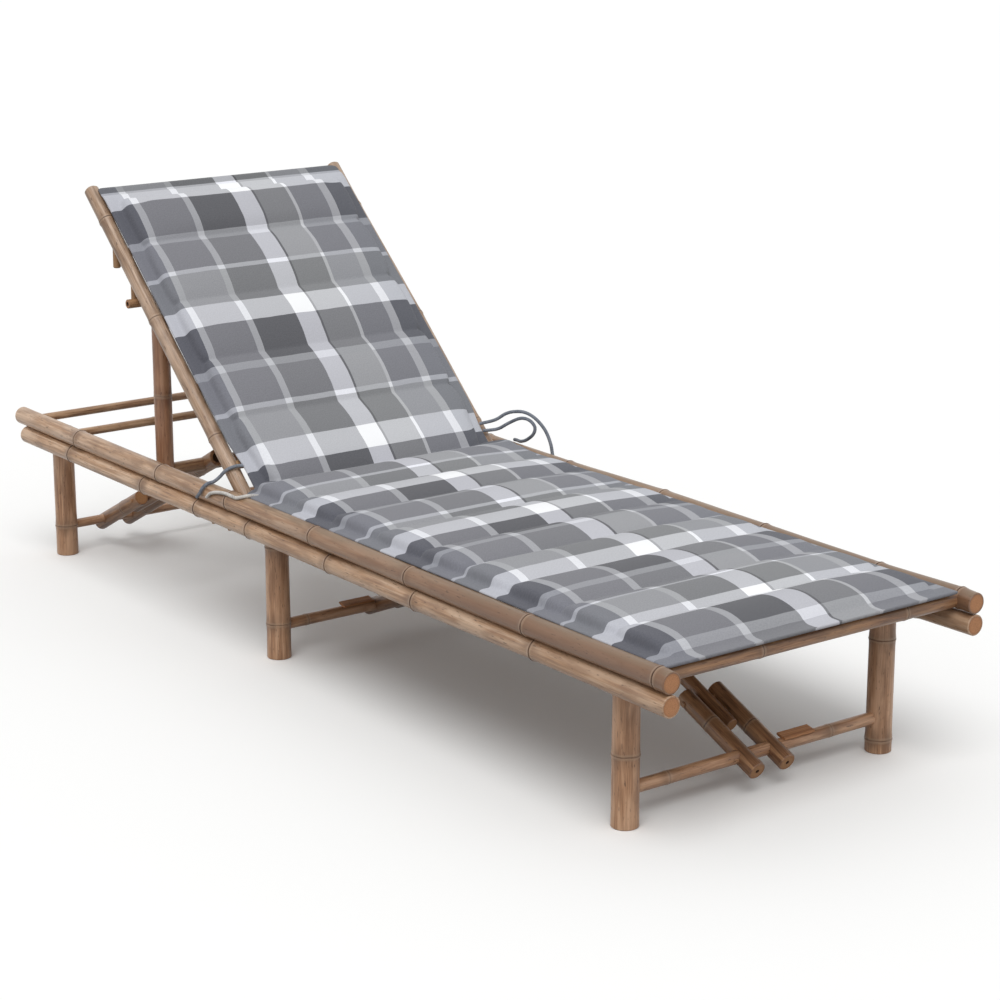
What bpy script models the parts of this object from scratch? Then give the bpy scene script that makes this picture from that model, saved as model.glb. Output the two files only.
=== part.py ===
"""Folding bamboo sun lounger with a quilted cushion, in metres.

X runs from the head end (-) to the foot end (+), Y from the near side (-) to the far side (+), Z up.
The origin is the middle of the footprint, on the floor.
"""

import math

import bmesh
import bpy
from mathutils import Matrix, Vector

# Driving sizes of the whole object
LENGTH = 2.000
HEAD_END = -LENGTH / 2
FOOT_END = LENGTH / 2
FIT = 0.0003
SIDES = 12
LEG_SIDES = 14

# Side rails
RAIL_Y = 0.3071
RAIL_R = 0.0170
NODE_SWELL = 0.0009
UPPER_Z = 0.2765
LOWER_Z = UPPER_Z - 2 * RAIL_R - NODE_SWELL - FIT
UPPER_NODES = (-0.749, -0.437, -0.190, 0.083, 0.361, 0.673, 0.976)
LOWER_NODES = (-0.778, -0.496, -0.299, -0.121, 0.130, 0.383, 0.692)
FAR_UPPER_NODES = (-0.812, -0.530, -0.262, -0.010, 0.256, 0.520, 0.792, 0.968)
FAR_LOWER_NODES = (-0.700, -0.395, -0.150, 0.100, 0.342, 0.610, 0.880)
LOWER_HEAD_X = HEAD_END + 0.020
SOCKET = 0.0075
RAIL_INNER = RAIL_Y - RAIL_R - NODE_SWELL

# Cross rails: (x, z, radius, node positions along y)
FOOT_CROSS = (FOOT_END - 0.037, UPPER_Z, 0.0125, (0.185, -0.110))
HEAD_CROSS_1 = (HEAD_END + 0.045, UPPER_Z, 0.0080, (0.060,))
HEAD_CROSS_2 = (HEAD_END + 0.200, UPPER_Z, 0.0080, (-0.120,))
HINGE = (-0.207, UPPER_Z, 0.0085, (0.040,))
PIVOT_HEAD = (-0.567, LOWER_Z, 0.0125, (-0.020, 0.170))
PIVOT_FOOT = (FOOT_END - 0.590, LOWER_Z, 0.0125, (-0.120, 0.210))
PIVOT_MIDDLE = (PIVOT_FOOT[0] - 0.090, LOWER_Z, 0.0125, (0.120, -0.190))
DOWEL_R = 0.0042
DOWEL_X = (-0.255, -0.200)

# Leg frames
LEG_Y = 0.262
LEG_R = 0.0211
LEG_TOP = LOWER_Z + 0.020
PIN_R = 0.0060
STRETCHER_Z = 0.058
LEG_X = {"foot": FOOT_END - 0.153, "middle": PIVOT_MIDDLE[0] - 0.438, "head": HEAD_END + 0.080}
STRETCHER_R = {"foot": 0.0105, "middle": 0.0100, "head": 0.0090}
STRETCHER_NODES = {"foot": (-0.183, 0.150), "middle": (0.090, -0.205), "head": (0.030, 0.190)}
LEG_NODES = {
    "leg_foot_near": (0.115,),
    "leg_foot_far": (0.022, 0.190),
    "leg_middle_near": (0.064, 0.205),
    "leg_middle_far": (0.130,),
    "leg_head_near": (0.060, 0.180),
    "leg_head_far": (0.100,),
}
STOPS = {"foot": (0.0805, 0.063), "middle": (-0.0965, 0.063)}

# Folding knee braces: middle y, pole ends measured from the stretcher
BRACE_Y = {"foot": 0.000, "middle": -0.016, "head": -0.135}
PIVOT = {"foot": PIVOT_FOOT, "middle": PIVOT_MIDDLE, "head": PIVOT_HEAD}
PAIR_SPACING = 0.0310
PAIR_R = 0.0152
PAIR_BELOW = 0.0385
PAIR_ABOVE = {"foot": 0.1480, "middle": 0.1480, "head": 0.1580}
KNEE = {"foot": 0.1320, "middle": 0.1320, "head": 0.1400}
KNEE_R = 0.0045
LINK_START = 0.0635
LINK_OVERHANG = 0.0400
LINK_R = (0.0110, 0.0166)

# Backrest: positions are s along the rail from the hinge and n square to it
RECLINE = math.radians(42.1)
BACK_RAIL_Y = 0.270
BACK_RAIL_R = 0.0139
BACK_INNER = BACK_RAIL_Y - BACK_RAIL_R - NODE_SWELL
BACK_RAIL_S = (-0.020, 0.718)
BACK_RAIL_NODES = {-1: (0.130, 0.402, 0.640), 1: (0.070, 0.330, 0.610)}
TOP_RAIL_S = 0.698
TOP_RAIL_R = 0.0120
BEARER_R = 0.0080
BACK_BEARER_N = 0.0040
BACK_BEARERS = (0.065, 0.240, 0.400, 0.560, 0.655)
PEG_R = 0.0072
PEG_X = (-0.5840, -0.6490)
PEG_TIP = (0.5690, 0.6220)

# Prop
PROP_X = -0.566
PROP_Y = 0.229
PROP_R = 0.0168
PROP_FOOT = 0.2185
PROP_TOP = 0.584
BAR_R = 0.0085
BAR_Y = 0.296
PROP_TRAVEL = math.radians(35.8)
PROP_TURN = math.radians(48.0745)

# Decks
SLAT_W = 0.045
SLAT_T = 0.0070
SLAT_PITCH = 0.063
SLAT_COUNT = 9
BACK_SLAT_COUNT = 7
SEAT_BEARERS = (-0.160, 0.040, 0.250, 0.460, 0.670, FOOT_END - 0.095)
SEAT_DECK_X = (-0.170, FOOT_END - 0.058)
BACK_DECK_S = (0.050, 0.672)

# Cushion
PAD_HALF = 0.284
BACK_PAD_OVER = 0.0038
BACK_PAD_HALF = BACK_INNER + BACK_PAD_OVER
BACK_LIP_HALF = BACK_INNER - 0.0012
PAD_T = 0.040
HEM_T = 0.0065
HEM_W = 0.034
SEAT_PAD_X = (-0.190, FOOT_END - 0.018)
BACK_PAD_S = (0.020, 0.684)
SEAT_CHANNELS = 9
SEAT_CHANNEL = (SEAT_PAD_X[1] - HEM_W + 0.1878) / SEAT_CHANNELS
BACK_CHANNELS = 5
TIE_R = 0.0032

COLOURS = {
    "bamboo": (0.42, 0.27, 0.15),
    "olive": (0.30, 0.22, 0.12),
    "cut": (0.50, 0.30, 0.14),
    "cloth": (0.30, 0.31, 0.33),
    "tie": (0.20, 0.21, 0.23),
}


def clear_scene():
    for item in list(bpy.data.objects):
        bpy.data.objects.remove(item, do_unlink=True)


def material(name, colour, rough):
    made = bpy.data.materials.new(name)
    made.use_nodes = True
    shader = made.node_tree.nodes["Principled BSDF"]
    shader.inputs["Base Color"].default_value = (*colour, 1.0)
    shader.inputs["Roughness"].default_value = rough
    return made


def body(name, pos, parent=None):
    """An empty on the joint axis that carries one moving body."""
    empty = bpy.data.objects.new(name, None)
    empty.empty_display_size = 0.04
    bpy.context.scene.collection.objects.link(empty)
    empty.parent = parent
    empty.matrix_world = Matrix.Translation(pos)
    bpy.context.view_layer.update()
    return empty


def node(name, mesh, colour, carrier=None, rough=0.45):
    """One finished piece with its own material, its origin on its body's joint axis."""
    made = bpy.data.objects.new(name, mesh)
    bpy.context.scene.collection.objects.link(made)
    mesh.materials.append(material(name, COLOURS[colour], rough))
    if carrier is not None:
        origin = carrier.matrix_world.translation
        mesh.transform(Matrix.Translation(-origin))
        made.parent = carrier
    return made


def mesh_from(bm, name):
    bmesh.ops.recalc_face_normals(bm, faces=bm.faces)
    mesh = bpy.data.meshes.new(name)
    bm.to_mesh(mesh)
    bm.free()
    return mesh


def stations(length, r0, r1, nodes=(), swell=NODE_SWELL):
    """Radius along a bamboo pole: a straight taper with a low ridge at each node."""
    found = [(0.0, r0)]
    for at in sorted(nodes):
        base = r0 + (r1 - r0) * at / length
        for offset, rise in ((-0.011, 0.0), (-0.0025, 1.0), (0.0025, 0.45), (0.010, 0.0)):
            t = at + offset
            if found[-1][0] + 0.001 < t < length - 0.001:
                found.append((t, base + rise * swell))
    found.append((length, r1))
    return found


def turned(name, start, end, profile, recess=(0.0, 0.0), sides=SIDES, phase=0.5):
    """A pole along start-end with this radius profile, and a shallow hollow in an end that shows."""
    start, end = Vector(start), Vector(end)
    axis = (end - start).normalized()
    side = Vector((0.0, 1.0, 0.0)) if abs(axis.y) < 0.9 else Vector((0.0, 0.0, 1.0))
    side = (side - axis * side.dot(axis)).normalized()
    other = axis.cross(side)
    rows = [(t, r) for t, r in profile]
    if recess[0] > 0.0:
        t, r = rows[0]
        rows = [(t + 0.009, recess[0] * 0.92), (t, recess[0])] + rows
    if recess[1] > 0.0:
        t, r = rows[-1]
        rows = rows + [(t, recess[1]), (t - 0.009, recess[1] * 0.92)]
    bm = bmesh.new()
    rings = []
    for t, r in rows:
        middle = start + axis * t
        ring = []
        for k in range(sides):
            turn = 2 * math.pi * (k + phase) / sides
            ring.append(bm.verts.new(middle + (side * math.cos(turn) + other * math.sin(turn)) * r))
        rings.append(ring)
    for low, high in zip(rings, rings[1:]):
        for k in range(sides):
            after = (k + 1) % sides
            bm.faces.new((low[k], low[after], high[after], high[k]))
    bm.faces.new(rings[0])
    bm.faces.new(list(reversed(rings[-1])))
    return mesh_from(bm, name)


def cutter(name, mesh):
    made = bpy.data.objects.new(name, mesh)
    bpy.context.scene.collection.objects.link(made)
    made.hide_render = True
    made.display_type = "WIRE"
    return made


def round_cutter(name, start, end, radius, sides=SIDES):
    length = (Vector(end) - Vector(start)).length
    return cutter(name, turned(name, start, end, [(0.0, radius), (length, radius)], sides=sides))


def turning_bore(name, start, end, radius, sides=SIDES):
    """Cutter for a bore that a faceted pin turns in: its flats clear the pin's corners at every angle."""
    length = (Vector(end) - Vector(start)).length
    wide = (radius + FIT) / math.cos(math.pi / sides)
    return cutter(name, turned(name, start, end, [(0.0, wide), (length, wide)], sides=sides, phase=0.0))


def boolean(target, tool, operation="DIFFERENCE"):
    made = target.modifiers.new(tool.name, "BOOLEAN")
    made.operation = operation
    made.solver = "EXACT"
    made.object = tool
    return made


def prism(name, outline, y0, y1):
    """A closed (x, z) outline drawn out from y0 to y1."""
    bm = bmesh.new()
    near = [bm.verts.new((x, y0, z)) for x, z in outline]
    far = [bm.verts.new((x, y1, z)) for x, z in outline]
    bm.faces.new(near)
    bm.faces.new(list(reversed(far)))
    for k in range(len(outline)):
        after = (k + 1) % len(outline)
        bm.faces.new((near[k], far[k], far[after], near[after]))
    return mesh_from(bm, name)


def back_point(s, n, y):
    """World position of a point given in the backrest's own s and n."""
    x = HINGE[0] - s * math.cos(RECLINE) + n * math.sin(RECLINE)
    z = HINGE[1] + s * math.sin(RECLINE) + n * math.cos(RECLINE)
    return Vector((x, y, z))


def cross_rail(name, spec, reach, colour="bamboo", carrier=None, sides=12):
    x, z, radius, nodes = spec
    profile = stations(2 * reach, radius, radius, [reach + at for at in nodes], 0.0007)
    mesh = turned(name, (x, -reach, z), (x, reach, z), profile, sides=sides)
    return node(name, mesh, colour, carrier)


def slats(name, run, offset, count, thickness):
    """Bowed split-bamboo strips side by side, each a closed prism along the first axis."""
    bm = bmesh.new()
    half = SLAT_W / 2
    shape = ((-half, 0.0), (half, 0.0), (half, thickness * 0.55), (0.0, thickness), (-half, thickness * 0.55))
    for k in range(count):
        y = (k - (count - 1) / 2) * SLAT_PITCH
        ends = []
        for s in run:
            ends.append([bm.verts.new((s, y + across, offset + up)) for across, up in shape])
        low, high = ends
        bm.faces.new(low)
        bm.faces.new(list(reversed(high)))
        for j in range(len(shape)):
            after = (j + 1) % len(shape)
            bm.faces.new((low[j], high[j], high[after], low[after]))
    return mesh_from(bm, name)


def bearers(name, places, height, reach, radius):
    bm = bmesh.new()
    for at in places:
        made = turned(name, (at, -reach, height), (at, reach, height), [(0.0, radius), (2 * reach, radius)], sides=8)
        bm.from_mesh(made)
        bpy.data.meshes.remove(made)
    return mesh_from(bm, name)


def channel_height(t, pitch):
    """Height of the quilted top at distance t from a seam, 0 at a seam and 1 between two."""
    phase = (t / pitch) % 1.0
    return math.sin(math.pi * phase) ** 0.55 if 0.0 < phase < 1.0 else 0.0


def pad_top(t, across, first, pitch, count, half):
    """Thickness of the cushion at t along it and at this distance from its middle."""
    edge = min(max((half - HEM_W - abs(across)) / 0.030, 0.0), 1.0)
    rise = math.sin(edge * math.pi / 2)
    inside = min(max(t - first, 0.0), pitch * count)
    crown = 0.26 + 0.74 * channel_height(inside, pitch)
    if t <= first or t >= first + pitch * count:
        crown = 0.0
    return HEM_T + (PAD_T - HEM_T) * rise * crown


def pad_mesh(name, rows, half, first, pitch, count, place, bottom_rows, lip_half):
    """A cushion from closed sections side by side: quilted top, flat back, thin hems."""
    columns = [-half, -half + HEM_W * 0.5, -half + HEM_W, -half + HEM_W + 0.009]
    columns += [-half + HEM_W + 0.030, -half * 0.5, 0.0]
    columns += [-y for y in reversed(columns[:-1])]
    bm = bmesh.new()
    sections = []
    for y in columns:
        ring = []
        for t in rows:
            ring.append(bm.verts.new(place(t, pad_top(t, y, first, pitch, count, half), y)))
        for t, n in bottom_rows:
            ring.append(bm.verts.new(place(t, n, max(-lip_half, min(lip_half, y)))))
        sections.append(ring)
    for low, high in zip(sections, sections[1:]):
        for k in range(len(low)):
            after = (k + 1) % len(low)
            bm.faces.new((low[k], low[after], high[after], high[k]))
    bm.faces.new(sections[0])
    bm.faces.new(list(reversed(sections[-1])))
    return mesh_from(bm, name)


def quilt_rows(start, first, pitch, count, end):
    rows = [start]
    for k in range(count):
        for part in (0.0, 0.15, 0.50, 0.85):
            rows.append(first + pitch * (k + part))
    rows += [first + pitch * count, end]
    return rows


def smooth_path(points, spacing):
    """Points every so often along a Catmull-Rom curve through the given ones."""
    points = [Vector(p) for p in points]
    ends = [2 * points[0] - points[1]] + points + [2 * points[-1] - points[-2]]
    dense = []
    for a, b, c, d in zip(ends, ends[1:], ends[2:], ends[3:]):
        for k in range(12):
            t = k / 12
            dense.append(
                0.5 * (2 * b + (c - a) * t + (2 * a - 5 * b + 4 * c - d) * t**2 + (3 * b - a - 3 * c + d) * t**3)
            )
    dense.append(points[-1])
    total = sum((q - p).length for p, q in zip(dense, dense[1:]))
    count = max(2, round(total / spacing))
    found, walked, target = [dense[0]], 0.0, total / count
    for p, q in zip(dense, dense[1:]):
        step = (q - p).length
        while walked + step >= target * len(found) and len(found) < count:
            part = (target * len(found) - walked) / step
            found.append(p.lerp(q, part))
        walked += step
    found.append(dense[-1])
    return found


def tie(name, points):
    """A loose fabric string through these points."""
    curve = bpy.data.curves.new(name, "CURVE")
    curve.dimensions = "3D"
    curve.bevel_depth = TIE_R
    curve.bevel_resolution = 1
    curve.use_fill_caps = True
    path = smooth_path(points, 2.6 * TIE_R)
    line = curve.splines.new("POLY")
    line.points.add(len(path) - 1)
    for at, p in zip(line.points, path):
        at.co = (*p, 1.0)
    made = bpy.data.objects.new(name, curve)
    bpy.context.scene.collection.objects.link(made)
    curve.materials.append(material(name, COLOURS["tie"], 0.9))
    return made


def build_side_rails():
    """Two stacked rails a side, bored for every cross piece, and the dowels that pin them."""
    for side, word, upper, lower in ((-1, "near", UPPER_NODES, LOWER_NODES), (1, "far", FAR_UPPER_NODES, FAR_LOWER_NODES)):
        y = side * RAIL_Y
        top = turned(
            "top",
            (HEAD_END, y, UPPER_Z),
            (FOOT_END, y, UPPER_Z),
            stations(LENGTH, RAIL_R, RAIL_R, [x - HEAD_END for x in upper]),
        )
        rail_up = node(f"rail_{word}_upper", top, "bamboo")
        run = FOOT_END - LOWER_HEAD_X
        low = turned(
            "low",
            (LOWER_HEAD_X, y, LOWER_Z),
            (FOOT_END, y, LOWER_Z),
            stations(run, RAIL_R, RAIL_R, [x - LOWER_HEAD_X for x in lower]),
        )
        rail_low = node(f"rail_{word}_lower", low, "bamboo")
        inner = side * (RAIL_INNER - 0.004)
        depth = side * (RAIL_INNER + SOCKET + FIT)
        for k, (x, z, radius, _) in enumerate((FOOT_CROSS, HEAD_CROSS_1, HEAD_CROSS_2, HINGE)):
            boolean(rail_up, round_cutter(f"cut_up_{word}_{k}", (x, inner, z), (x, depth, z), radius + FIT, 12))
        for k, x in enumerate(SEAT_BEARERS):
            tool = round_cutter(f"cut_bear_{word}_{k}", (x, inner, UPPER_Z), (x, depth, UPPER_Z), BEARER_R + FIT, 8)
            boolean(rail_up, tool)
        for k, (x, z, radius, _) in enumerate((PIVOT_HEAD, PIVOT_MIDDLE, PIVOT_FOOT)):
            boolean(rail_low, round_cutter(f"cut_low_{word}_{k}", (x, inner, z), (x, depth, z), radius + FIT, 12))
        for frame, x in LEG_X.items():
            tool = round_cutter(
                f"cut_pin_{word}_{frame}", (x, inner, LOWER_Z), (x, side * (RAIL_Y + FIT), LOWER_Z), PIN_R + FIT, 10
            )
            boolean(rail_low, tool)
        for k, x in enumerate(DOWEL_X):
            under, over = LOWER_Z - RAIL_R - 0.0022, UPPER_Z - 0.0135
            dowel = turned("dowel", (x, y, under), (x, y, over), [(0.0, DOWEL_R), (over - under, DOWEL_R)], sides=8)
            node(f"rail_dowel_{word}_{k + 1}", dowel, "cut")
            hole = round_cutter(f"cut_dowel_{word}_{k}", (x, y, under - 0.01), (x, y, over + FIT), DOWEL_R + FIT, 8)
            boolean(rail_up, hole)
            boolean(rail_low, hole)


def build_cross_rails():
    reach = RAIL_INNER + SOCKET
    cross_rail("foot_cross_rail", FOOT_CROSS, reach)
    cross_rail("head_cross_rail_1", HEAD_CROSS_1, reach)
    cross_rail("head_cross_rail_2", HEAD_CROSS_2, reach)
    cross_rail("hinge_rail", HINGE, reach)
    cross_rail("pivot_rail_head", PIVOT_HEAD, reach)
    cross_rail("pivot_rail_middle", PIVOT_MIDDLE, reach)
    cross_rail("pivot_rail_foot", PIVOT_FOOT, reach)


def build_seat_deck():
    base = UPPER_Z + BEARER_R - 0.0008
    deck = node("seat_deck", slats("seat_deck", SEAT_DECK_X, base, SLAT_COUNT, SLAT_T), "cut")
    tool = cutter("join_seat", bearers("join_seat", SEAT_BEARERS, UPPER_Z, RAIL_INNER + SOCKET, BEARER_R))
    boolean(deck, tool, "UNION")
    return base + SLAT_T


def build_leg_frame(frame):
    """Two legs on pins, the stretcher that ties them, and the brace that holds them up."""
    x = LEG_X[frame]
    carrier = body(f"body_leg_frame_{frame}", (x, 0.0, LOWER_Z))
    for side, word in ((-1, "near"), (1, "far")):
        name = f"leg_{frame}_{word}"
        y = side * LEG_Y
        profile = stations(LEG_TOP, LEG_R + 0.0006, LEG_R - 0.0004, LEG_NODES[name], 0.0011)
        profile = [profile[0], *profile[1:-1], (LEG_TOP - 0.004, LEG_R - 0.0004), (LEG_TOP, LEG_R - 0.0035)]
        leg = node(name, turned(name, (x, y, 0.0), (x, y, LEG_TOP), profile, sides=LEG_SIDES), "bamboo", carrier)
        inner = side * (LEG_Y - LEG_R - 0.004)
        tenon = side * (LEG_Y - LEG_R + 0.012 + FIT)
        radius = STRETCHER_R[frame] + FIT
        boolean(leg, round_cutter(f"cut_{name}", (x, inner, STRETCHER_Z), (x, tenon, STRETCHER_Z), radius, 12))
        pin_in, pin_out = side * (LEG_Y - 0.012), side * RAIL_Y
        hole_out = side * (LEG_Y + LEG_R + 0.006)
        hole_in = side * (LEG_Y - 0.012 - FIT)
        boolean(leg, turning_bore(f"cut_pin_{name}", (x, hole_in, LOWER_Z), (x, hole_out, LOWER_Z), PIN_R, 10))
        run = abs(pin_out - pin_in)
        pin = turned("pin", (x, pin_in, LOWER_Z), (x, pin_out, LOWER_Z), [(0.0, PIN_R), (run, PIN_R)], sides=10)
        node(f"leg_pin_{frame}_{word}", pin, "cut")
    reach = LEG_Y - LEG_R + 0.012
    radius = STRETCHER_R[frame]
    cross_rail(f"stretcher_{frame}", (x, STRETCHER_Z, radius, STRETCHER_NODES[frame]), reach, "bamboo", carrier)
    if frame in STOPS:
        middle, length = STOPS[frame]
        top = STRETCHER_Z + radius * math.cos(math.pi / 12) + FIT
        outline = ((x - 0.0075, top), (x + 0.0075, top), (x + 0.0055, top + 0.0035), (x - 0.0055, top + 0.0035))
        sliver = prism(f"stop_{frame}", outline, middle - length / 2, middle + length / 2)
        node(f"stop_{frame}", sliver, "cut", carrier)
    build_brace(frame, carrier)


def build_brace(frame, leg_carrier):
    """The knee brace: two poles bored by the stretcher and, between them, one bored by its pivot rail."""
    foot = Vector((LEG_X[frame], 0.0, STRETCHER_Z))
    top = Vector((PIVOT[frame][0], 0.0, PIVOT[frame][1]))
    along = (top - foot).normalized()
    span = (top - foot).length
    knee = foot + along * KNEE[frame]
    pair_carrier = body(f"body_brace_pair_{frame}", foot, leg_carrier)
    link_carrier = body(f"body_brace_link_{frame}", top)
    link_r = LINK_R[0] + (LINK_R[1] - LINK_R[0]) * (KNEE[frame] - LINK_START) / (span - LINK_START)
    for side, word in ((-1, "near"), (1, "far")):
        name = f"brace_pair_{frame}_{word}"
        y = BRACE_Y[frame] + side * PAIR_SPACING
        low = foot - along * PAIR_BELOW + Vector((0.0, y, 0.0))
        high = foot + along * PAIR_ABOVE[frame] + Vector((0.0, y, 0.0))
        run = PAIR_BELOW + PAIR_ABOVE[frame]
        nodes = (run * (0.62 if side < 0 else 0.48),)
        mesh = turned(name, low, high, stations(run, PAIR_R, PAIR_R - 0.0006, nodes, 0.0006), (0.0032, 0.0))
        pole = node(name, mesh, "bamboo", pair_carrier)
        hole_a = (foot.x, y - 0.03, foot.z)
        hole_b = (foot.x, y + 0.03, foot.z)
        boolean(pole, turning_bore(f"cut_{name}", hole_a, hole_b, STRETCHER_R[frame]))
        inner = BRACE_Y[frame] + side * (link_r + 0.0010)
        outer = y + side * (PAIR_R + 0.0018)
        dowel_run = abs(outer - inner)
        dowel = turned(
            "dowel", (knee.x, inner, knee.z), (knee.x, outer, knee.z), [(0.0, KNEE_R), (dowel_run, KNEE_R)], sides=10
        )
        boolean(pole, cutter(f"join_{name}", dowel), "UNION")
    name = f"brace_link_{frame}"
    y = Vector((0.0, BRACE_Y[frame], 0.0))
    low = foot + along * LINK_START + y
    high = top + along * LINK_OVERHANG + y
    run = (high - low).length
    mesh = turned(name, low, high, stations(run, LINK_R[0], LINK_R[1], (run * 0.47, run * 0.80), 0.0007), (0.0, 0.0100))
    link = node(name, mesh, "bamboo", link_carrier)
    hole_a = (top.x, y.y - 0.04, top.z)
    hole_b = (top.x, y.y + 0.04, top.z)
    boolean(link, turning_bore(f"cut_{name}", hole_a, hole_b, PIVOT[frame][2]))


def build_backrest():
    carrier = body("body_backrest", (HINGE[0], 0.0, HINGE[1]))
    start, end = BACK_RAIL_S
    inner = BACK_INNER
    for side, word in ((-1, "near"), (1, "far")):
        name = f"backrest_rail_{word}"
        y = side * BACK_RAIL_Y
        profile = stations(end - start, BACK_RAIL_R, BACK_RAIL_R, [s - start for s in BACK_RAIL_NODES[side]])
        profile = profile[:-1] + [(end - start - 0.004, BACK_RAIL_R), (end - start, BACK_RAIL_R - 0.0030)]
        rail = node(name, turned(name, back_point(start, 0, y), back_point(end, 0, y), profile), "olive", carrier)
        hole_a = (HINGE[0], y - 0.03, HINGE[1])
        hole_b = (HINGE[0], y + 0.03, HINGE[1])
        boolean(rail, turning_bore(f"cut_{name}", hole_a, hole_b, HINGE[2]))
        depth = inner + SOCKET + FIT
        places = [(s, BACK_BEARER_N, BEARER_R, 8) for s in BACK_BEARERS] + [(TOP_RAIL_S, 0.0, TOP_RAIL_R, 12)]
        for k, (s, n, radius, sides) in enumerate(places):
            a, b = back_point(s, n, side * (inner - 0.004)), back_point(s, n, side * depth)
            boolean(rail, round_cutter(f"cut_back_{word}_{k}", a, b, radius + FIT, sides))
        for k, (x, tip) in enumerate(zip(PEG_X, PEG_TIP)):
            s = (HINGE[0] - x) / math.cos(RECLINE)
            axis_z = HINGE[1] + s * math.sin(RECLINE)
            top = axis_z + 0.004
            profile = [(0.0, PEG_R - 0.0012), (0.0020, PEG_R), (top - tip, PEG_R)]
            peg = turned("peg", (x, y, tip), (x, y, top), profile, sides=10)
            node(f"hook_peg_{word}_{k + 1}", peg, "cut", carrier)
            boolean(rail, round_cutter(f"cut_peg_{word}_{k}", (x, y, tip), (x, y, top + FIT), PEG_R + FIT, 10))
    reach = inner + SOCKET
    profile = stations(2 * reach, TOP_RAIL_R, TOP_RAIL_R, (reach * 0.7,), 0.0007)
    top_rail = turned("top", back_point(TOP_RAIL_S, 0, -reach), back_point(TOP_RAIL_S, 0, reach), profile, sides=12)
    node("backrest_top_rail", top_rail, "bamboo", carrier)
    to_world = Matrix.Translation((HINGE[0], 0.0, HINGE[1])) @ Matrix.Rotation(RECLINE, 4, "Y") @ Matrix.Diagonal((-1, -1, 1, 1))
    base = BACK_BEARER_N + BEARER_R - 0.0008
    strips = slats("strips", BACK_DECK_S, base, BACK_SLAT_COUNT, SLAT_T)
    strips.transform(to_world)
    deck = node("backrest_deck", strips, "cut", carrier)
    join = bearers("join_back", BACK_BEARERS, BACK_BEARER_N, reach, BEARER_R)
    join.transform(to_world)
    boolean(deck, cutter("join_back", join), "UNION")
    return carrier


def slot_outline(bar, radius):
    """Outline of the way that the pivot rail takes out of the prop's foot while the backrest goes down."""
    rail = Vector((PIVOT_HEAD[0], PIVOT_HEAD[1]))
    hinge = Vector((HINGE[0], HINGE[1]))
    path = []
    for k in range(14):
        part = 0.0125 * k
        down = part * PROP_TRAVEL
        whole = part * (PROP_TRAVEL + PROP_TURN)
        moved = hinge + Matrix.Rotation(down, 2) @ (bar - hinge)
        path.append(Matrix.Rotation(-whole, 2) @ (rail - moved) + bar)
    left, right = [], []
    for k, p in enumerate(path):
        run = (path[min(k + 1, len(path) - 1)] - path[max(k - 1, 0)]).normalized()
        side = Vector((-run.y, run.x))
        left.append(p + side * radius)
        right.append(p - side * radius)
    run = (path[1] - path[0]).normalized()
    cap = []
    for k in range(1, 8):
        turn = math.pi * k / 8
        side = Vector((-run.y, run.x))
        cap.append(path[0] + side * radius * math.cos(turn) - run * radius * math.sin(turn))
    return [tuple(p) for p in left[::-1] + cap + right]


def build_prop(back_carrier):
    """Two poles and the bar they hang from, hooked over the pivot rail at their feet."""
    gap = BACK_RAIL_R + NODE_SWELL + BAR_R + FIT
    s = (HINGE[0] - PROP_X - gap * math.sin(RECLINE)) / math.cos(RECLINE)
    at = back_point(s, -gap, 0.0)
    bar = Vector((at.x, at.z))
    carrier = body("body_prop_frame", at, back_carrier)
    slot = slot_outline(bar, PIVOT_HEAD[2] + 2 * FIT)
    for side, word in ((-1, "near"), (1, "far")):
        name = f"prop_pole_{word}"
        y = side * PROP_Y
        run = PROP_TOP - PROP_FOOT
        profile = stations(run, PROP_R, PROP_R, (0.388 - PROP_FOOT, 0.530 - PROP_FOOT), 0.0006)
        pole = node(name, turned(name, (PROP_X, y, PROP_FOOT), (PROP_X, y, PROP_TOP), profile), "bamboo", carrier)
        boolean(pole, turning_bore(f"cut_{name}", (at.x, y - 0.03, at.z), (at.x, y + 0.03, at.z), BAR_R))
        boolean(pole, cutter(f"slot_{name}", prism("slot", slot, y - 0.03, y + 0.03)))
    profile = [(0.0, BAR_R), (2 * BAR_Y, BAR_R)]
    mesh = turned("bar", (at.x, -BAR_Y, at.z), (at.x, BAR_Y, at.z), profile, (0.0042, 0.0042), 12)
    node("prop_top_bar", mesh, "cut", carrier)


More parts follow.
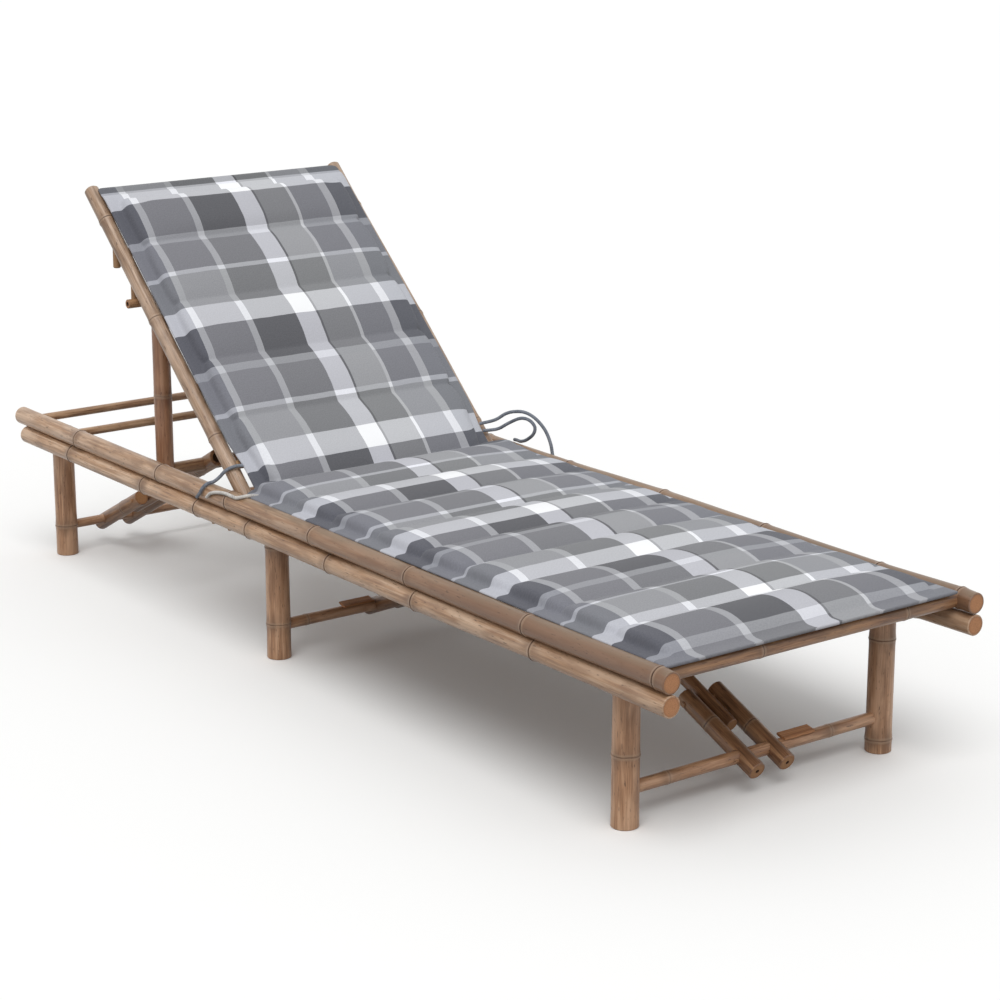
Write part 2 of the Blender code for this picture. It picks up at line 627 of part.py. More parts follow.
def build_pads(deck_top, back_carrier):
    bottom = deck_top + FIT
    start, end = SEAT_PAD_X
    first = end - HEM_W - SEAT_CHANNELS * SEAT_CHANNEL
    rows = quilt_rows(start, first, SEAT_CHANNEL, SEAT_CHANNELS, end)
    mesh = pad_mesh(
        "pad_seat",
        rows,
        PAD_HALF,
        first,
        SEAT_CHANNEL,
        SEAT_CHANNELS,
        lambda t, n, y: Vector((t, y, bottom + n)),
        [(end, 0.0), (start, 0.0)],
        PAD_HALF,
    )
    node("pad_seat", mesh, "cloth", None, 0.9)
    under = BACK_BEARER_N + BEARER_R - 0.0008 + SLAT_T + FIT
    start, end = BACK_PAD_S
    pitch = (end - start - 0.006) / BACK_CHANNELS
    rows = quilt_rows(start - 0.012, start, pitch, BACK_CHANNELS, end)
    wrap = TOP_RAIL_R + 0.0014 + FIT
    outside = wrap + HEM_T

    def place(t, n, y):
        return back_point(t, under + n, y)

    centre = TOP_RAIL_S
    lip = [(centre + outside * math.sin(a), outside * math.cos(a) - under) for a in (0.45, 0.95, 1.5708, 2.1, 2.6)]
    lip += [(centre + wrap * math.sin(a), wrap * math.cos(a) - under) for a in (2.6, 2.1, 1.5708, 0.95, 0.45, 0.0)]
    lip += [(centre - 0.012, 0.0), (start - 0.012, 0.0)]
    mesh = pad_mesh("pad_back", rows, BACK_PAD_HALF, start, pitch, BACK_CHANNELS, place, lip, BACK_LIP_HALF)
    node("pad_back", mesh, "cloth", back_carrier, 0.9)


TIE_ROUTES = {
    "tie_near_1": (
        (-0.2292, -0.2606, 0.3268),
        (-0.2330, -0.2730, 0.3266),
        (-0.2420, -0.2870, 0.3195),
        (-0.2490, -0.2965, 0.3075),
        (-0.2550, -0.3055, 0.2988),
        (-0.2595, -0.3160, 0.2958),
        (-0.2620, -0.3245, 0.2888),
        (-0.2665, -0.3279, 0.2790),
        (-0.2740, -0.3300, 0.2700),
    ),
    "tie_near_2": (
        (-0.1380, -0.2853, 0.2943),
        (-0.1378, -0.2960, 0.2968),
        (-0.1390, -0.3075, 0.2980),
        (-0.1450, -0.3165, 0.2960),
        (-0.1560, -0.3200, 0.2930),
        (-0.1740, -0.3202, 0.2932),
        (-0.1900, -0.3210, 0.2936),
        (-0.2060, -0.3216, 0.2918),
        (-0.2200, -0.3236, 0.2895),
        (-0.2340, -0.3266, 0.2845),
        (-0.2420, -0.3284, 0.2765),
    ),
    "tie_far_1": (
        (-0.2292, 0.2608, 0.3268),
        (-0.2110, 0.2840, 0.3345),
        (-0.1950, 0.2965, 0.3475),
        (-0.1760, 0.3030, 0.3545),
        (-0.1500, 0.3090, 0.3570),
        (-0.1280, 0.3170, 0.3480),
        (-0.1080, 0.3240, 0.3290),
        (-0.0960, 0.3275, 0.3060),
        (-0.0900, 0.3278, 0.2860),
        (-0.0880, 0.3282, 0.2765),
    ),
    "tie_far_2": (
        (-0.2190, 0.2613, 0.3150),
        (-0.2050, 0.2860, 0.3180),
        (-0.1870, 0.2985, 0.3310),
        (-0.1610, 0.3060, 0.3440),
        (-0.1360, 0.3080, 0.3450),
        (-0.1200, 0.3090, 0.3350),
        (-0.1250, 0.3095, 0.3200),
        (-0.1460, 0.3100, 0.3050),
        (-0.1680, 0.3130, 0.2970),
        (-0.1840, 0.3165, 0.2955),
        (-0.1960, 0.3190, 0.2940),
    ),
}


def build_ties():
    """Two loose strings a side that hold the cushion to the side rail by the hinge."""
    for name, route in TIE_ROUTES.items():
        tie(name, route)


def main():
    clear_scene()
    build_side_rails()
    build_cross_rails()
    deck_top = build_seat_deck()
    for frame in LEG_X:
        build_leg_frame(frame)
    back_carrier = build_backrest()
    build_prop(back_carrier)
    build_pads(deck_top, back_carrier)
    build_ties()


main()
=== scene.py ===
"""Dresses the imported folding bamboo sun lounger: poles, a quilted plaid cushion and its ties.

Every length is in metres in the CAD's frame: X from the head end (-) to the foot end (+), Y from
the near side (-) to the far side (+), Z up, with the floor at Z = 0.
"""

import logging
import math
from dataclasses import dataclass, field
from enum import Enum
from functools import partial
from typing import Any, Callable, Iterable, Sequence

import bmesh
import bpy
from mathutils import Matrix, Vector

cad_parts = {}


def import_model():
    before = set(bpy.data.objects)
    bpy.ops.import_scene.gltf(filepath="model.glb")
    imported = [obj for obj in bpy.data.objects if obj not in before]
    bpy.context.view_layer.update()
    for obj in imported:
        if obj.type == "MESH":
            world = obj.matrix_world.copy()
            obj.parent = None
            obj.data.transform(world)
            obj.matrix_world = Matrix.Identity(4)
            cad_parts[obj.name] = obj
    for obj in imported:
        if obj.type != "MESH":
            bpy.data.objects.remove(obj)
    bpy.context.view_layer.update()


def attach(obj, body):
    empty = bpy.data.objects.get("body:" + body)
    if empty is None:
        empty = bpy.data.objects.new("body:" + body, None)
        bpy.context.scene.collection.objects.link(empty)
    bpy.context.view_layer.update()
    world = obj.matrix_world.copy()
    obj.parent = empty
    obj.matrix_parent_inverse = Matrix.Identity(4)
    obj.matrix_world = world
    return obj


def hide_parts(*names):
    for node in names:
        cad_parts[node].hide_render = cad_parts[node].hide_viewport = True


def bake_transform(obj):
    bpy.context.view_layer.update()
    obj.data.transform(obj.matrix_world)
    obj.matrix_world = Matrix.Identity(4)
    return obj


log = logging.getLogger("sun_lounger")

Colour = tuple[float, float, float, float]
Point = Sequence[float]
Band = tuple[float, Point]
BMesh = bmesh.types.BMesh
Vert = bmesh.types.BMVert
Object = bpy.types.Object
Material = bpy.types.Material
Tree = bpy.types.NodeTree
Socket = bpy.types.NodeSocket
Adder = Callable[..., Socket]

SIDES = ((-1, "near"), (1, "far"))

# The property that picks what a node of each type does.
MODES = {
    "Attribute": "attribute_name",
    "Mapping": "vector_type",
    "Math": "operation",
    "Mix": "data_type",
    "TexNoise": "noise_dimensions",
    "VectorMath": "operation",
}


# ------------------------------------------------------------------------ small shared tools


def linear(hex_colour: str) -> Colour:
    """Turn an sRGB hex colour into the linear values that a shader takes.

    Args:
        hex_colour: six hex digits with a leading #.

    Returns:
        Linear red, green and blue, and an alpha of 1.
    """
    parts = [int(hex_colour[k : k + 2], 16) / 255 for k in (1, 3, 5)]
    red, green, blue = (c / 12.92 if c <= 0.04045 else ((c + 0.055) / 1.055) ** 2.4 for c in parts)
    return (red, green, blue, 1.0)


def feed(tree: Tree, pairs: Iterable[tuple[Socket, Any]]) -> None:
    """Give node inputs what they take.

    Args:
        tree: the node tree.
        pairs: each input with another node's output, a hex colour, a value, or None to leave it.
    """
    for socket, value in pairs:
        if isinstance(value, Socket):
            tree.links.new(value, socket)
        elif value is not None:
            socket.default_value = linear(value) if isinstance(value, str) else value


def put(
    tree: Tree,
    kind: str,
    *values: Any,
    stops: Sequence[tuple[float, str | Point]] = (),
    hard: bool = False,
) -> Socket:
    """Add one node with its settings and its inputs.

    Args:
        tree: the node tree that takes it.
        kind: Blender's node type without its prefix, and after a space the mode it works in.
        values: what the inputs in use take, in their order, as feed() reads them.
        stops: a colour ramp's places and colours, from its start to its end.
        hard: whether a ramp steps from colour to colour.

    Returns:
        The first output in use; its node gives the others.
    """
    kind, _, mode = kind.partition(" ")
    node = tree.nodes.new(f"ShaderNode{kind}")
    if mode:
        setattr(node, MODES[kind], mode)
    feed(tree, zip([socket for socket in node.inputs if socket.enabled], values))
    for k, (at, colour) in enumerate(stops):
        one = node.color_ramp.elements[k] if k < 2 else node.color_ramp.elements.new(at)
        one.position = at
        one.color = linear(colour) if isinstance(colour, str) else (*colour, 1.0)
    if hard:
        node.color_ramp.interpolation = "CONSTANT"
    return next((socket for socket in node.outputs if socket.enabled), None)


def new_material(name: str) -> tuple[Material, Adder]:
    """Start a material.

    Args:
        name: what it is called.

    Returns:
        The material, and the function that adds nodes to it.
    """
    material = bpy.data.materials.new(name)
    material.use_nodes = True
    return material, partial(put, material.node_tree)


def layered(add: Adder, colour: Socket | str, layers: Iterable[Sequence]) -> Socket:
    """Lay colours over one another.

    Args:
        add: adds a node to the material.
        colour: the colour below them all.
        layers: each colour with the one or two masks that show it, by their product. A mask is a
            node's output, or one with the range that is mapped and what that becomes.

    Returns:
        The colour that shows.
    """
    for tint, *masks in layers:
        shown = [mask if isinstance(mask, Socket) else add("MapRange", *mask) for mask in masks]
        amount = add("Math MULTIPLY", *shown) if len(shown) > 1 else shown[0]
        colour = add("Mix RGBA", amount, colour, tint)
    return colour


def surface(material: Material, inputs: dict[str, Any]) -> Material:
    """Finish a material.

    Args:
        material: the material.
        inputs: what each of its shader's inputs takes, by the input's name.

    Returns:
        The material.
    """
    shader = material.node_tree.nodes["Principled BSDF"]
    feed(material.node_tree, ((shader.inputs[name], value) for name, value in inputs.items()))
    return material


def between(low: float, high: float, part: float) -> float:
    """The value that lies this part of the way from low to high."""
    return low + (high - low) * part


def smooth(value: float, low: float, high: float) -> float:
    """Smoothstep of value from low to high, from 0 to 1."""
    part = min(max((value - low) / (high - low), 0.0), 1.0)
    return part * part * (3 - 2 * part)


def baked(obj: Object) -> None:
    """Apply every modifier of an object to its mesh.

    Args:
        obj: the object, which keeps its name.
    """
    graph = bpy.context.evaluated_depsgraph_get()
    mesh = bpy.data.meshes.new_from_object(obj.evaluated_get(graph))
    old = obj.data
    obj.modifiers.clear()
    obj.data = mesh
    bpy.data.meshes.remove(old)
    mesh.name = obj.name


def link(name: str, data: bpy.types.ID) -> Object:
    """Add an object to the scene.

    Args:
        name: the new object's name.
        data: its mesh, curve, camera or lamp.

    Returns:
        The new object.
    """
    obj = bpy.data.objects.new(name, data)
    bpy.context.scene.collection.objects.link(obj)
    return obj


def add_object(name: str, bm: BMesh) -> Object:
    """Put a finished bmesh into the scene, with its faces turned outwards.

    Args:
        name: the new object's name.
        bm: the bmesh, which is freed.

    Returns:
        The new object.
    """
    bmesh.ops.recalc_face_normals(bm, faces=bm.faces)
    mesh = bpy.data.meshes.new(name)
    bm.to_mesh(mesh)
    bm.free()
    return link(name, mesh)


def bridge(bm: BMesh, rings: Sequence[Sequence[Vert]]) -> None:
    """Join rings of points into one closed surface, with a face over each end.

    Args:
        bm: the bmesh that holds them.
        rings: the rings in order, each with the same number of points.
    """
    for low, high in zip(rings, rings[1:]):
        for k in range(len(low)):
            after = (k + 1) % len(low)
            bm.faces.new((low[k], low[after], high[after], high[k]))
    bm.faces.new(rings[0])
    bm.faces.new(rings[-1][::-1])


def shade_round(obj: Object, angle: float = 38.0) -> None:
    """Shade an object smooth.

    Args:
        obj: the object.
        angle: edges sharper than this many degrees stay sharp.
    """
    for face in obj.data.polygons:
        face.use_smooth = True
    obj.data.set_sharp_from_angle(angle=math.radians(angle))


def cut(target: Object, tool: Object) -> None:
    """Cut one closed mesh out of another, and drop the tool.

    Args:
        target: the object that is cut.
        tool: the object whose shape is taken out.
    """
    made = target.modifiers.new("cut", "BOOLEAN")
    made.operation = "DIFFERENCE"
    made.solver = "EXACT"
    made.object = tool
    baked(target)
    bpy.data.objects.remove(tool, do_unlink=True)


def spar(x: float, z: float, low: float, high: float) -> tuple[Point, Point]:
    """The two ends of a line that runs from near to far at one x and z."""
    return (x, low, z), (x, high, z)


# ------------------------------------------------------------------------ bamboo poles

# A node's ring: distance from the node along the pole, and share of the pole's swell.
RIDGE = (
    (-0.0125, 0.0), (-0.0065, 0.18), (-0.0030, 0.66), (-0.0013, 1.0), (-0.0004, 0.86),
    (0.0000, 0.20), (0.0005, 0.42), (0.0018, 0.62), (0.0050, 0.30), (0.0110, 0.0),
)
RIDGE_CLEAR = 0.004
END_CLEAR = 0.0015
RING_STEP = 0.045
RIPPLE = 0.012
HOLLOW_DEPTH = 0.009
HOLLOW_TAPER = 0.92
SLOT_HALF = 0.03


@dataclass(frozen=True)
class Bore:
    """A round hole through a pole, from one point to another."""

    start: Point
    end: Point
    radius: float

    def tool(self) -> Object:
        """Make the round rod that cuts the hole.

        Returns:
            The rod.
        """
        bm = bmesh.new()
        rod = Pole("bore", "", self.start, self.end, self.radius, sides=32)
        bridge(bm, [rod.ring(bm, Vector(end), rod.r0) for end in (rod.start, rod.end)])
        return add_object("bore", bm)


@dataclass(frozen=True)
class Pole:
    """One bamboo pole: its line, its taper, and where its nodes are."""

    name: str
    body: str
    start: Point
    end: Point
    r0: float
    nodes: tuple[float, ...] = ()
    swell: float = 0.0009
    taper: float = 0.0
    bores: tuple[Bore, ...] = ()
    hollow: tuple[float, float] = (0.0, 0.0)
    extra: tuple["Pole", ...] = ()
    sides: int = 40
    chamfer: float = 0.0009
    slot: tuple[tuple[float, float], ...] = ()
    # How strongly painted shade greys the pole's upward side.
    top: float = 0.0
    crook: float = 0.0

    @property
    def r1(self) -> float:
        """Radius at the far end."""
        return self.r0 + self.taper

    def axes(self) -> tuple[Vector, Vector, Vector, float]:
        """The pole's own frame.

        Returns:
            Unit vectors along it and across it, and its length.
        """
        start, end = Vector(self.start), Vector(self.end)
        along = (end - start).normalized()
        side = Vector((0.0, 1.0, 0.0)) if abs(along.y) < 0.9 else Vector((0.0, 0.0, 1.0))
        side = (side - along * side.dot(along)).normalized()
        return along, side, along.cross(side), (end - start).length

    def profile(self) -> list[tuple[float, float]]:
        """Radius along the pole: taper, a ridge with a groove at each node, and worn ends.

        Returns:
            Pairs of distance from the start and radius.
        """
        length = self.axes()[3]
        found = {
            0.0: self.r0 - self.chamfer,
            self.chamfer: self.r0,
            length - self.chamfer: self.r1,
            length: self.r1 - self.chamfer,
        }
        for at in self.nodes:
            for offset, rise in RIDGE:
                t = at + offset
                if END_CLEAR < t < length - END_CLEAR:
                    found[t] = between(self.r0, self.r1, t / length) + rise * self.swell
        first, last = RIDGE[0][0] - RIDGE_CLEAR, RIDGE[-1][0] + RIDGE_CLEAR
        steps = max(2, round(length / RING_STEP))
        for k in range(1, steps):
            t = length * k / steps
            if all(t < at + first or t > at + last for at in self.nodes):
                # The factors here and in kink() only make neighbours differ.
                ripple = 0.5 + 0.5 * math.sin(31.0 * t + 57.0 * self.start[0] + 91.0 * self.r0)
                found[t] = between(self.r0, self.r1, t / length) * (1.0 - RIPPLE * ripple)
        return sorted(found.items())

    def kink(self, t: float) -> tuple[float, float]:
        """How far the culm strays from its straight line, turning a little at each node.

        Args:
            t: distance from the start.

        Returns:
            How far it lies to either side there.
        """
        if self.crook == 0.0:
            return 0.0, 0.0
        stops = (0.0, *sorted(self.nodes), self.axes()[3])
        x, y, z = self.start
        seed = 2.7 * x + 9.1 * y + 5.3 * z
        turns = range(1, len(stops) - 1)
        lean = [(math.sin(seed + 2.4 * k), math.cos(1.7 * seed + 1.9 * k)) for k in turns]
        lean = [(0.0, 0.0), *lean, (0.0, 0.0)]
        k = min(max(sum(t >= at for at in stops) - 1, 0), len(stops) - 2)
        part = (t - stops[k]) / (stops[k + 1] - stops[k])
        a, b = (self.crook * between(*ends, part) for ends in zip(lean[k], lean[k + 1]))
        return a, b

    def ring(self, bm: BMesh, middle: Vector, radius: float) -> list[Vert]:
        """Add one circle of points square to the pole.

        Args:
            bm: the bmesh that takes it.
            middle: its centre.
            radius: its radius.

        Returns:
            The points in order.
        """
        _, side, other, _ = self.axes()
        turns = (2 * math.pi * k / self.sides for k in range(self.sides))
        spokes = (side * math.cos(turn) + other * math.sin(turn) for turn in turns)
        return [bm.verts.new(middle + spoke * radius) for spoke in spokes]

    def ring_mesh(self, bm: BMesh) -> None:
        """Add the pole's closed surface, with the hollow of each end that shows one.

        Args:
            bm: the bmesh that takes it.
        """
        along, side, other, length = self.axes()
        rows = self.profile()
        near, far = self.hollow
        if near > 0.0:
            rows = [(HOLLOW_DEPTH, near * HOLLOW_TAPER), (0.0, near)] + rows
        if far > 0.0:
            rows += [(length, far), (length - HOLLOW_DEPTH, far * HOLLOW_TAPER)]
        rings = []
        for t, radius in rows:
            a, b = self.kink(t)
            middle = Vector(self.start) + along * t + side * a + other * b
            rings.append(self.ring(bm, middle, radius))
        bridge(bm, rings)

    def slot_tool(self) -> Object:
        """Make the block that cuts the slot where the pole hooks over its pivot rail.

        Returns:
            The block.
        """
        bm = bmesh.new()
        places = (self.start[1] - SLOT_HALF, self.start[1] + SLOT_HALF)
        bridge(bm, [[bm.verts.new((x, y, z)) for x, z in self.slot] for y in places])
        return add_object("slot", bm)

    def build(self) -> Object:
        """Make the pole with its bores, its slot and the small pieces that are one with it.

        Returns:
            The finished mesh object, with no material.
        """
        bm = bmesh.new()
        self.ring_mesh(bm)
        obj = add_object(f"{self.name}_pole", bm)
        for bore in self.bores:
            cut(obj, bore.tool())
        if self.slot:
            cut(obj, self.slot_tool())
        if self.extra:
            bm = bmesh.new()
            bm.from_mesh(obj.data)
            for piece in self.extra:
                piece.ring_mesh(bm)
            bmesh.ops.recalc_face_normals(bm, faces=bm.faces)
            bm.to_mesh(obj.data)
            bm.free()
        shade_round(obj)
        return obj


@dataclass(frozen=True)
class BambooSkin:
    """Smoked bamboo cane under a thin satin lacquer.

    It shows fibre streaks, pale and brown blotches, scuffed rings at its nodes and worn cut ends,
    with painted shade greying its upward side and darkening the inside of hollow ends.
    """

    light: str = "#DABEA4"
    mid: str = "#B28B69"
    dark: str = "#76543C"
    ring: str = "#4A3122"
    scar: str = "#76573F"
    bloom: str = "#C2A68C"
    top_shade_tint: str = "#7A6A54"
    cut_face: str = "#B9835A"
    cut_dark: str = "#7E5437"
    stain_and_hollow_shade: str = "#4A3322"
    roughness: float = 0.42
    foot_tan: float = 0.0
    grooved: float = 1.0

    def build(self, pole: Pole) -> Material:
        """Make the material of one pole, laid along that pole's own line.

        Args:
            pole: the pole, whose line and nodes place the streaks and the rings.

        Returns:
            The finished material.
        """
        along, side, other, length = pole.axes()
        turn = Matrix((along, side, other)).transposed().to_euler()
        material, add = new_material(f"smoked_bamboo_{pole.name}")
        where = add("TexCoord").node.outputs
        local = add("Mapping TEXTURE", where["Object"], Vector(pole.start), turn)
        axis = add("SeparateXYZ", local).node.outputs
        x, y, z = pole.start
        seed = 7.3 * abs(x) + 3.1 * y + 11.7 * z + 40.0 * pole.r0
        # Each is drawn out along the pole: cells a metre along and across, detail, and seed.
        # Fibre bundles lie about 4 mm apart, with single fibres near 1 mm, that coarse to show.
        # Smoke and sun leave blotches 20 to 80 mm long, and scratches leave short dark dashes.
        noise = {
            name: add("TexNoise 4D", add("Mapping", local, None, None, cells), shift, 1.0, detail)
            for name, cells, detail, shift in (
                ("bands", (8.0, 230.0, 230.0), 3.0, seed),
                ("fibres", (30.0, 820.0, 820.0), 2.0, seed + 4.0),
                ("brown", (15.0, 80.0, 80.0), 3.0, seed + 9.0),
                ("pale", (9.0, 50.0, 50.0), 2.0, seed + 15.0),
                ("dashes", (75.0, 430.0, 430.0), 2.0, seed + 21.0),
                ("tone", (3.2, 8.0, 8.0), 1.0, seed + 27.0),
                ("wobble", (60.0, 60.0, 60.0), 1.0, seed + 30.0),
                ("pores", (300.0, 1500.0, 1500.0), 1.0, seed + 50.0),
            )
        }
        single = add("Math MULTIPLY", noise["fibres"], 0.4)
        grain = add("Math MULTIPLY_ADD", noise["bands"], 0.6, single)
        height = add("Math MULTIPLY_ADD", noise["brown"], 0.5, add("Math MULTIPLY", grain, 0.9))
        height = add("Math MULTIPLY_ADD", noise["dashes"], -0.5, height)
        stops = ((0.0, self.dark), (0.48, self.mid), (1.0, self.light))
        cane = add("ValToRGB", add("MapRange", grain, 0.34, 0.66), stops=stops)
        layers = [
            (self.light, (noise["pale"], 0.48, 0.62, 0.0, 0.58)),
            (self.dark, (noise["brown"], 0.50, 0.64, 0.0, 0.58)),
            (self.mid, (noise["tone"], 0.46, 0.68, 0.0, 0.35)),
        ]
        if self.foot_tan > 0.0:
            ragged = add("Math MULTIPLY_ADD", noise["tone"], 0.5, axis[0])
            layers.append((self.dark, (ragged, 0.75, 1.85, 0.0, self.foot_tan)))
        layers.append((self.ring, (noise["dashes"], 0.63, 0.70, 0.0, 0.70)))
        if pole.top > 0.0:
            # Painted shade greys the upward side, more towards the foot end.
            up = add("SeparateXYZ", where["Normal"]).node.outputs[2]
            up = add("Math MULTIPLY_ADD", add("Math SUBTRACT", noise["brown"], 0.5), 0.9, up)
            footward = (axis[0], 0.4, 1.0, 0.25, 1.0)
            layers.append((self.top_shade_tint, (up, 0.55, 1.0, 0.0, pole.top), footward))
        if pole.nodes:
            # A scuffed band, a pale bloom and a dark groove, one within the other.
            wobble = add("Math SUBTRACT", noise["wobble"], 0.5)
            place = add("Math MULTIPLY_ADD", wobble, 0.0036, axis[0])
            gaps = [add("Math ABSOLUTE", add("Math SUBTRACT", place, at)) for at in pole.nodes]
            nearest = gaps[0]
            for gap in gaps[1:]:
                nearest = add("Math MINIMUM", nearest, gap)
            groove = add("MapRange", nearest, 0.0004, 0.0021, 1.0, 0.0)
            worn = noise["pale"], 0.40, 0.60, 0.95 * self.grooved, 0.60 * self.grooved
            scuffed = noise["brown"], 0.36, 0.60, 0.15, 0.85
            layers += [
                (self.scar, (nearest, 0.003, 0.024, 1.0, 0.0), scuffed),
                (self.bloom, (nearest, 0.0022, 0.0060, 0.34, 0.0)),
                (self.ring, groove, worn),
            ]
            height = add("Math MULTIPLY_ADD", groove, -0.8, height)
        # So near the axis only a sawn end can show, with its pores; inside a hollow end the dark
        # colour is painted shade.
        spoke = add("VectorMath LENGTH", add("CombineXYZ", None, axis[1], axis[2]))
        rim = min(pole.r0, pole.r1)
        share = 0.945 if pole.crook == 0.0 else 0.86
        inside = add("Math LESS_THAN", spoke, rim * share - 0.0002)
        pores = add("MapRange", noise["pores"], 0.50, 0.66, 0.0, 0.75)
        sawn = add("Mix RGBA", pores, self.cut_face, self.cut_dark)
        ends = [(self.cut_dark, (spoke, rim * 0.62, rim * 0.92, 0.0, 0.55))]
        # The inside of each hollow end is darkened as painted shade; the split strips use the same
        # name for real stains.
        for hole, far in zip(pole.hollow, (0.0, 1.0)):
            if hole > 0.0:
                half = add("MapRange", axis[0], length * 0.499, length * 0.501)
                core = (spoke, hole * 0.98, hole * 1.12, 1.0, 0.0)
                ends.append((self.stain_and_hollow_shade, core, add("Math COMPARE", half, far)))
        colour = add("Mix RGBA", inside, layered(add, cane, layers), layered(add, sawn, ends))
        glossy, dull = self.roughness - 0.07, self.roughness + 0.13
        rough = add("MapRange", noise["fibres"], 0.3, 0.7, glossy, dull)
        inputs = {
            "Base Color": colour,
            "Roughness": add("Math MAXIMUM", rough, add("Math MULTIPLY", inside, 0.82)),
            "Normal": add("Bump", 0.6, 0.0006, None, height),
            "IOR": 1.50,
            "Coat Weight": 0.22,
            "Coat Roughness": 0.28,
        }
        return surface(material, inputs)


@dataclass(frozen=True)
class SplitBamboo:
    """Split bamboo strips, planed on one face and left unlacquered: dull, with dark fibres."""

    light: str = "#BE966C"
    dark: str = "#8B6544"
    stain_and_hollow_shade: str = "#5C402B"
    roughness: float = 0.66

    def build(self, name: str, start: Point, along: Vector) -> Material:
        """Make the material, with its fibres along one direction.

        Args:
            name: what the material is for.
            start: where the fibres' own frame begins.
            along: the direction of the fibres.

        Returns:
            The finished material.
        """
        side = Vector((0.0, 1.0, 0.0)) if abs(along.y) < 0.9 else Vector((0.0, 0.0, 1.0))
        turn = Matrix((along, side, along.cross(side))).transposed().to_euler()
        material, add = new_material(f"split_bamboo_{name}")
        where = add("TexCoord").node.outputs["Object"]
        local = add("Mapping TEXTURE", where, Vector(start), turn)
        # Fibre bundles in a split culm are near 1.5 mm apart, and stains 50 mm.
        fibre = add("TexNoise", add("Mapping", local, None, None, (9, 650, 650)), 1.0, 2.0)
        stain = add("TexNoise", add("Mapping", local, None, None, (5, 18, 18)), 1.0, 1.0)
        colour = add("ValToRGB", fibre, stops=((0.34, self.dark), (0.62, self.light)))
        inputs = {
            "Base Color": layered(add, colour, [(self.stain_and_hollow_shade, (stain, 0.5, 0.7, 0.0, 0.5))]),
            "Roughness": self.roughness,
            "Normal": add("Bump", 0.5, 0.0004, None, fibre),
        }
        return surface(material, inputs)


class Role(Enum):
    """Which finish a pole takes, by where it stands on the lounger."""

    RAIL = BambooSkin(foot_tan=0.9)
    LOWER_RAIL = BambooSkin("#E2C6AA", "#BC9470", "#805E46", foot_tan=0.30)
    LEG = BambooSkin("#D2AA8A", "#AE8260", "#7C573D", grooved=0.55)
    CROSS = BambooSkin("#CBA988", "#A07A5A", "#6E4F38")
    BACK = BambooSkin("#C4AA94", "#A08268", "#6E5441", top_shade_tint="#84745F")
    PROP = BambooSkin("#C09474", "#A37658", "#7B543D", scar="#6A4630", grooved=0.40)
    BRACE = BambooSkin("#B08660", "#886042", "#563B28", cut_face="#A87A50")
    PEG = BambooSkin("#B28C66", "#96714F", "#73543B", roughness=0.60)


def dress_pole(pole: Pole, role: Role) -> None:
    """Build a pole, finish it, and let it stand for its CAD node.

    Args:
        pole: the pole to build; its name is the node's.
        role: which finish it takes.
    """
    obj = pole.build()
    obj.data.materials.clear()
    obj.data.materials.append(role.value.build(pole))
    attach(obj, pole.body)
    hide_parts(pole.name)
    faces, length = len(obj.data.polygons), 1000 * pole.axes()[3]
    log.info("%s: %d faces, %.0f mm long", pole.name, faces, length)


# ------------------------------------------------------------------------ the frame


@dataclass(frozen=True)
class Layout:
    """Places that several sub-assemblies share, the same as the CAD's."""

    length: float = 2.000
    fit: float = 0.0003
    rail_y: float = 0.3071
    rail_r: float = 0.0170
    swell: float = 0.0009
    upper_z: float = 0.2765
    socket: float = 0.0075
    leg_y: float = 0.262
    leg_r: float = 0.0211
    pin_r: float = 0.0060
    pivot_r: float = 0.0125
    head_pivot_x: float = -0.567
    middle_pivot_x: float = 0.320
    foot_pivot_x: float = 0.410
    stretcher_z: float = 0.058
    recline: float = math.radians(42.1)
    hinge: tuple[float, float] = (-0.207, 0.2765)
    hinge_r: float = 0.0085
    back_rail_y: float = 0.270
    back_rail_r: float = 0.0139

    @property
    def lower_z(self) -> float:
        """Height of the lower side rails' axis."""
        return self.upper_z - 2 * self.rail_r - self.swell - self.fit

    @property
    def reach(self) -> float:
        """Half the length of a cross rail between the side rails."""
        return self.rail_y - self.rail_r - self.swell + self.socket

    @property
    def back_reach(self) -> float:
        """Half the length of a cross rail between the backrest's rails."""
        return self.back_rail_y - self.back_rail_r - self.swell + self.socket

    def back(self, s: float, n: float, y: float = 0.0) -> Vector:
        """World point of a place on the backrest.

        Args:
            s: distance along it from the hinge.
            n: height square to it.
            y: distance across.

        Returns:
            The point.
        """
        x = self.hinge[0] - s * math.cos(self.recline) + n * math.sin(self.recline)
        z = self.hinge[1] + s * math.sin(self.recline) + n * math.cos(self.recline)
        return Vector((x, y, z))


LAY = Layout()


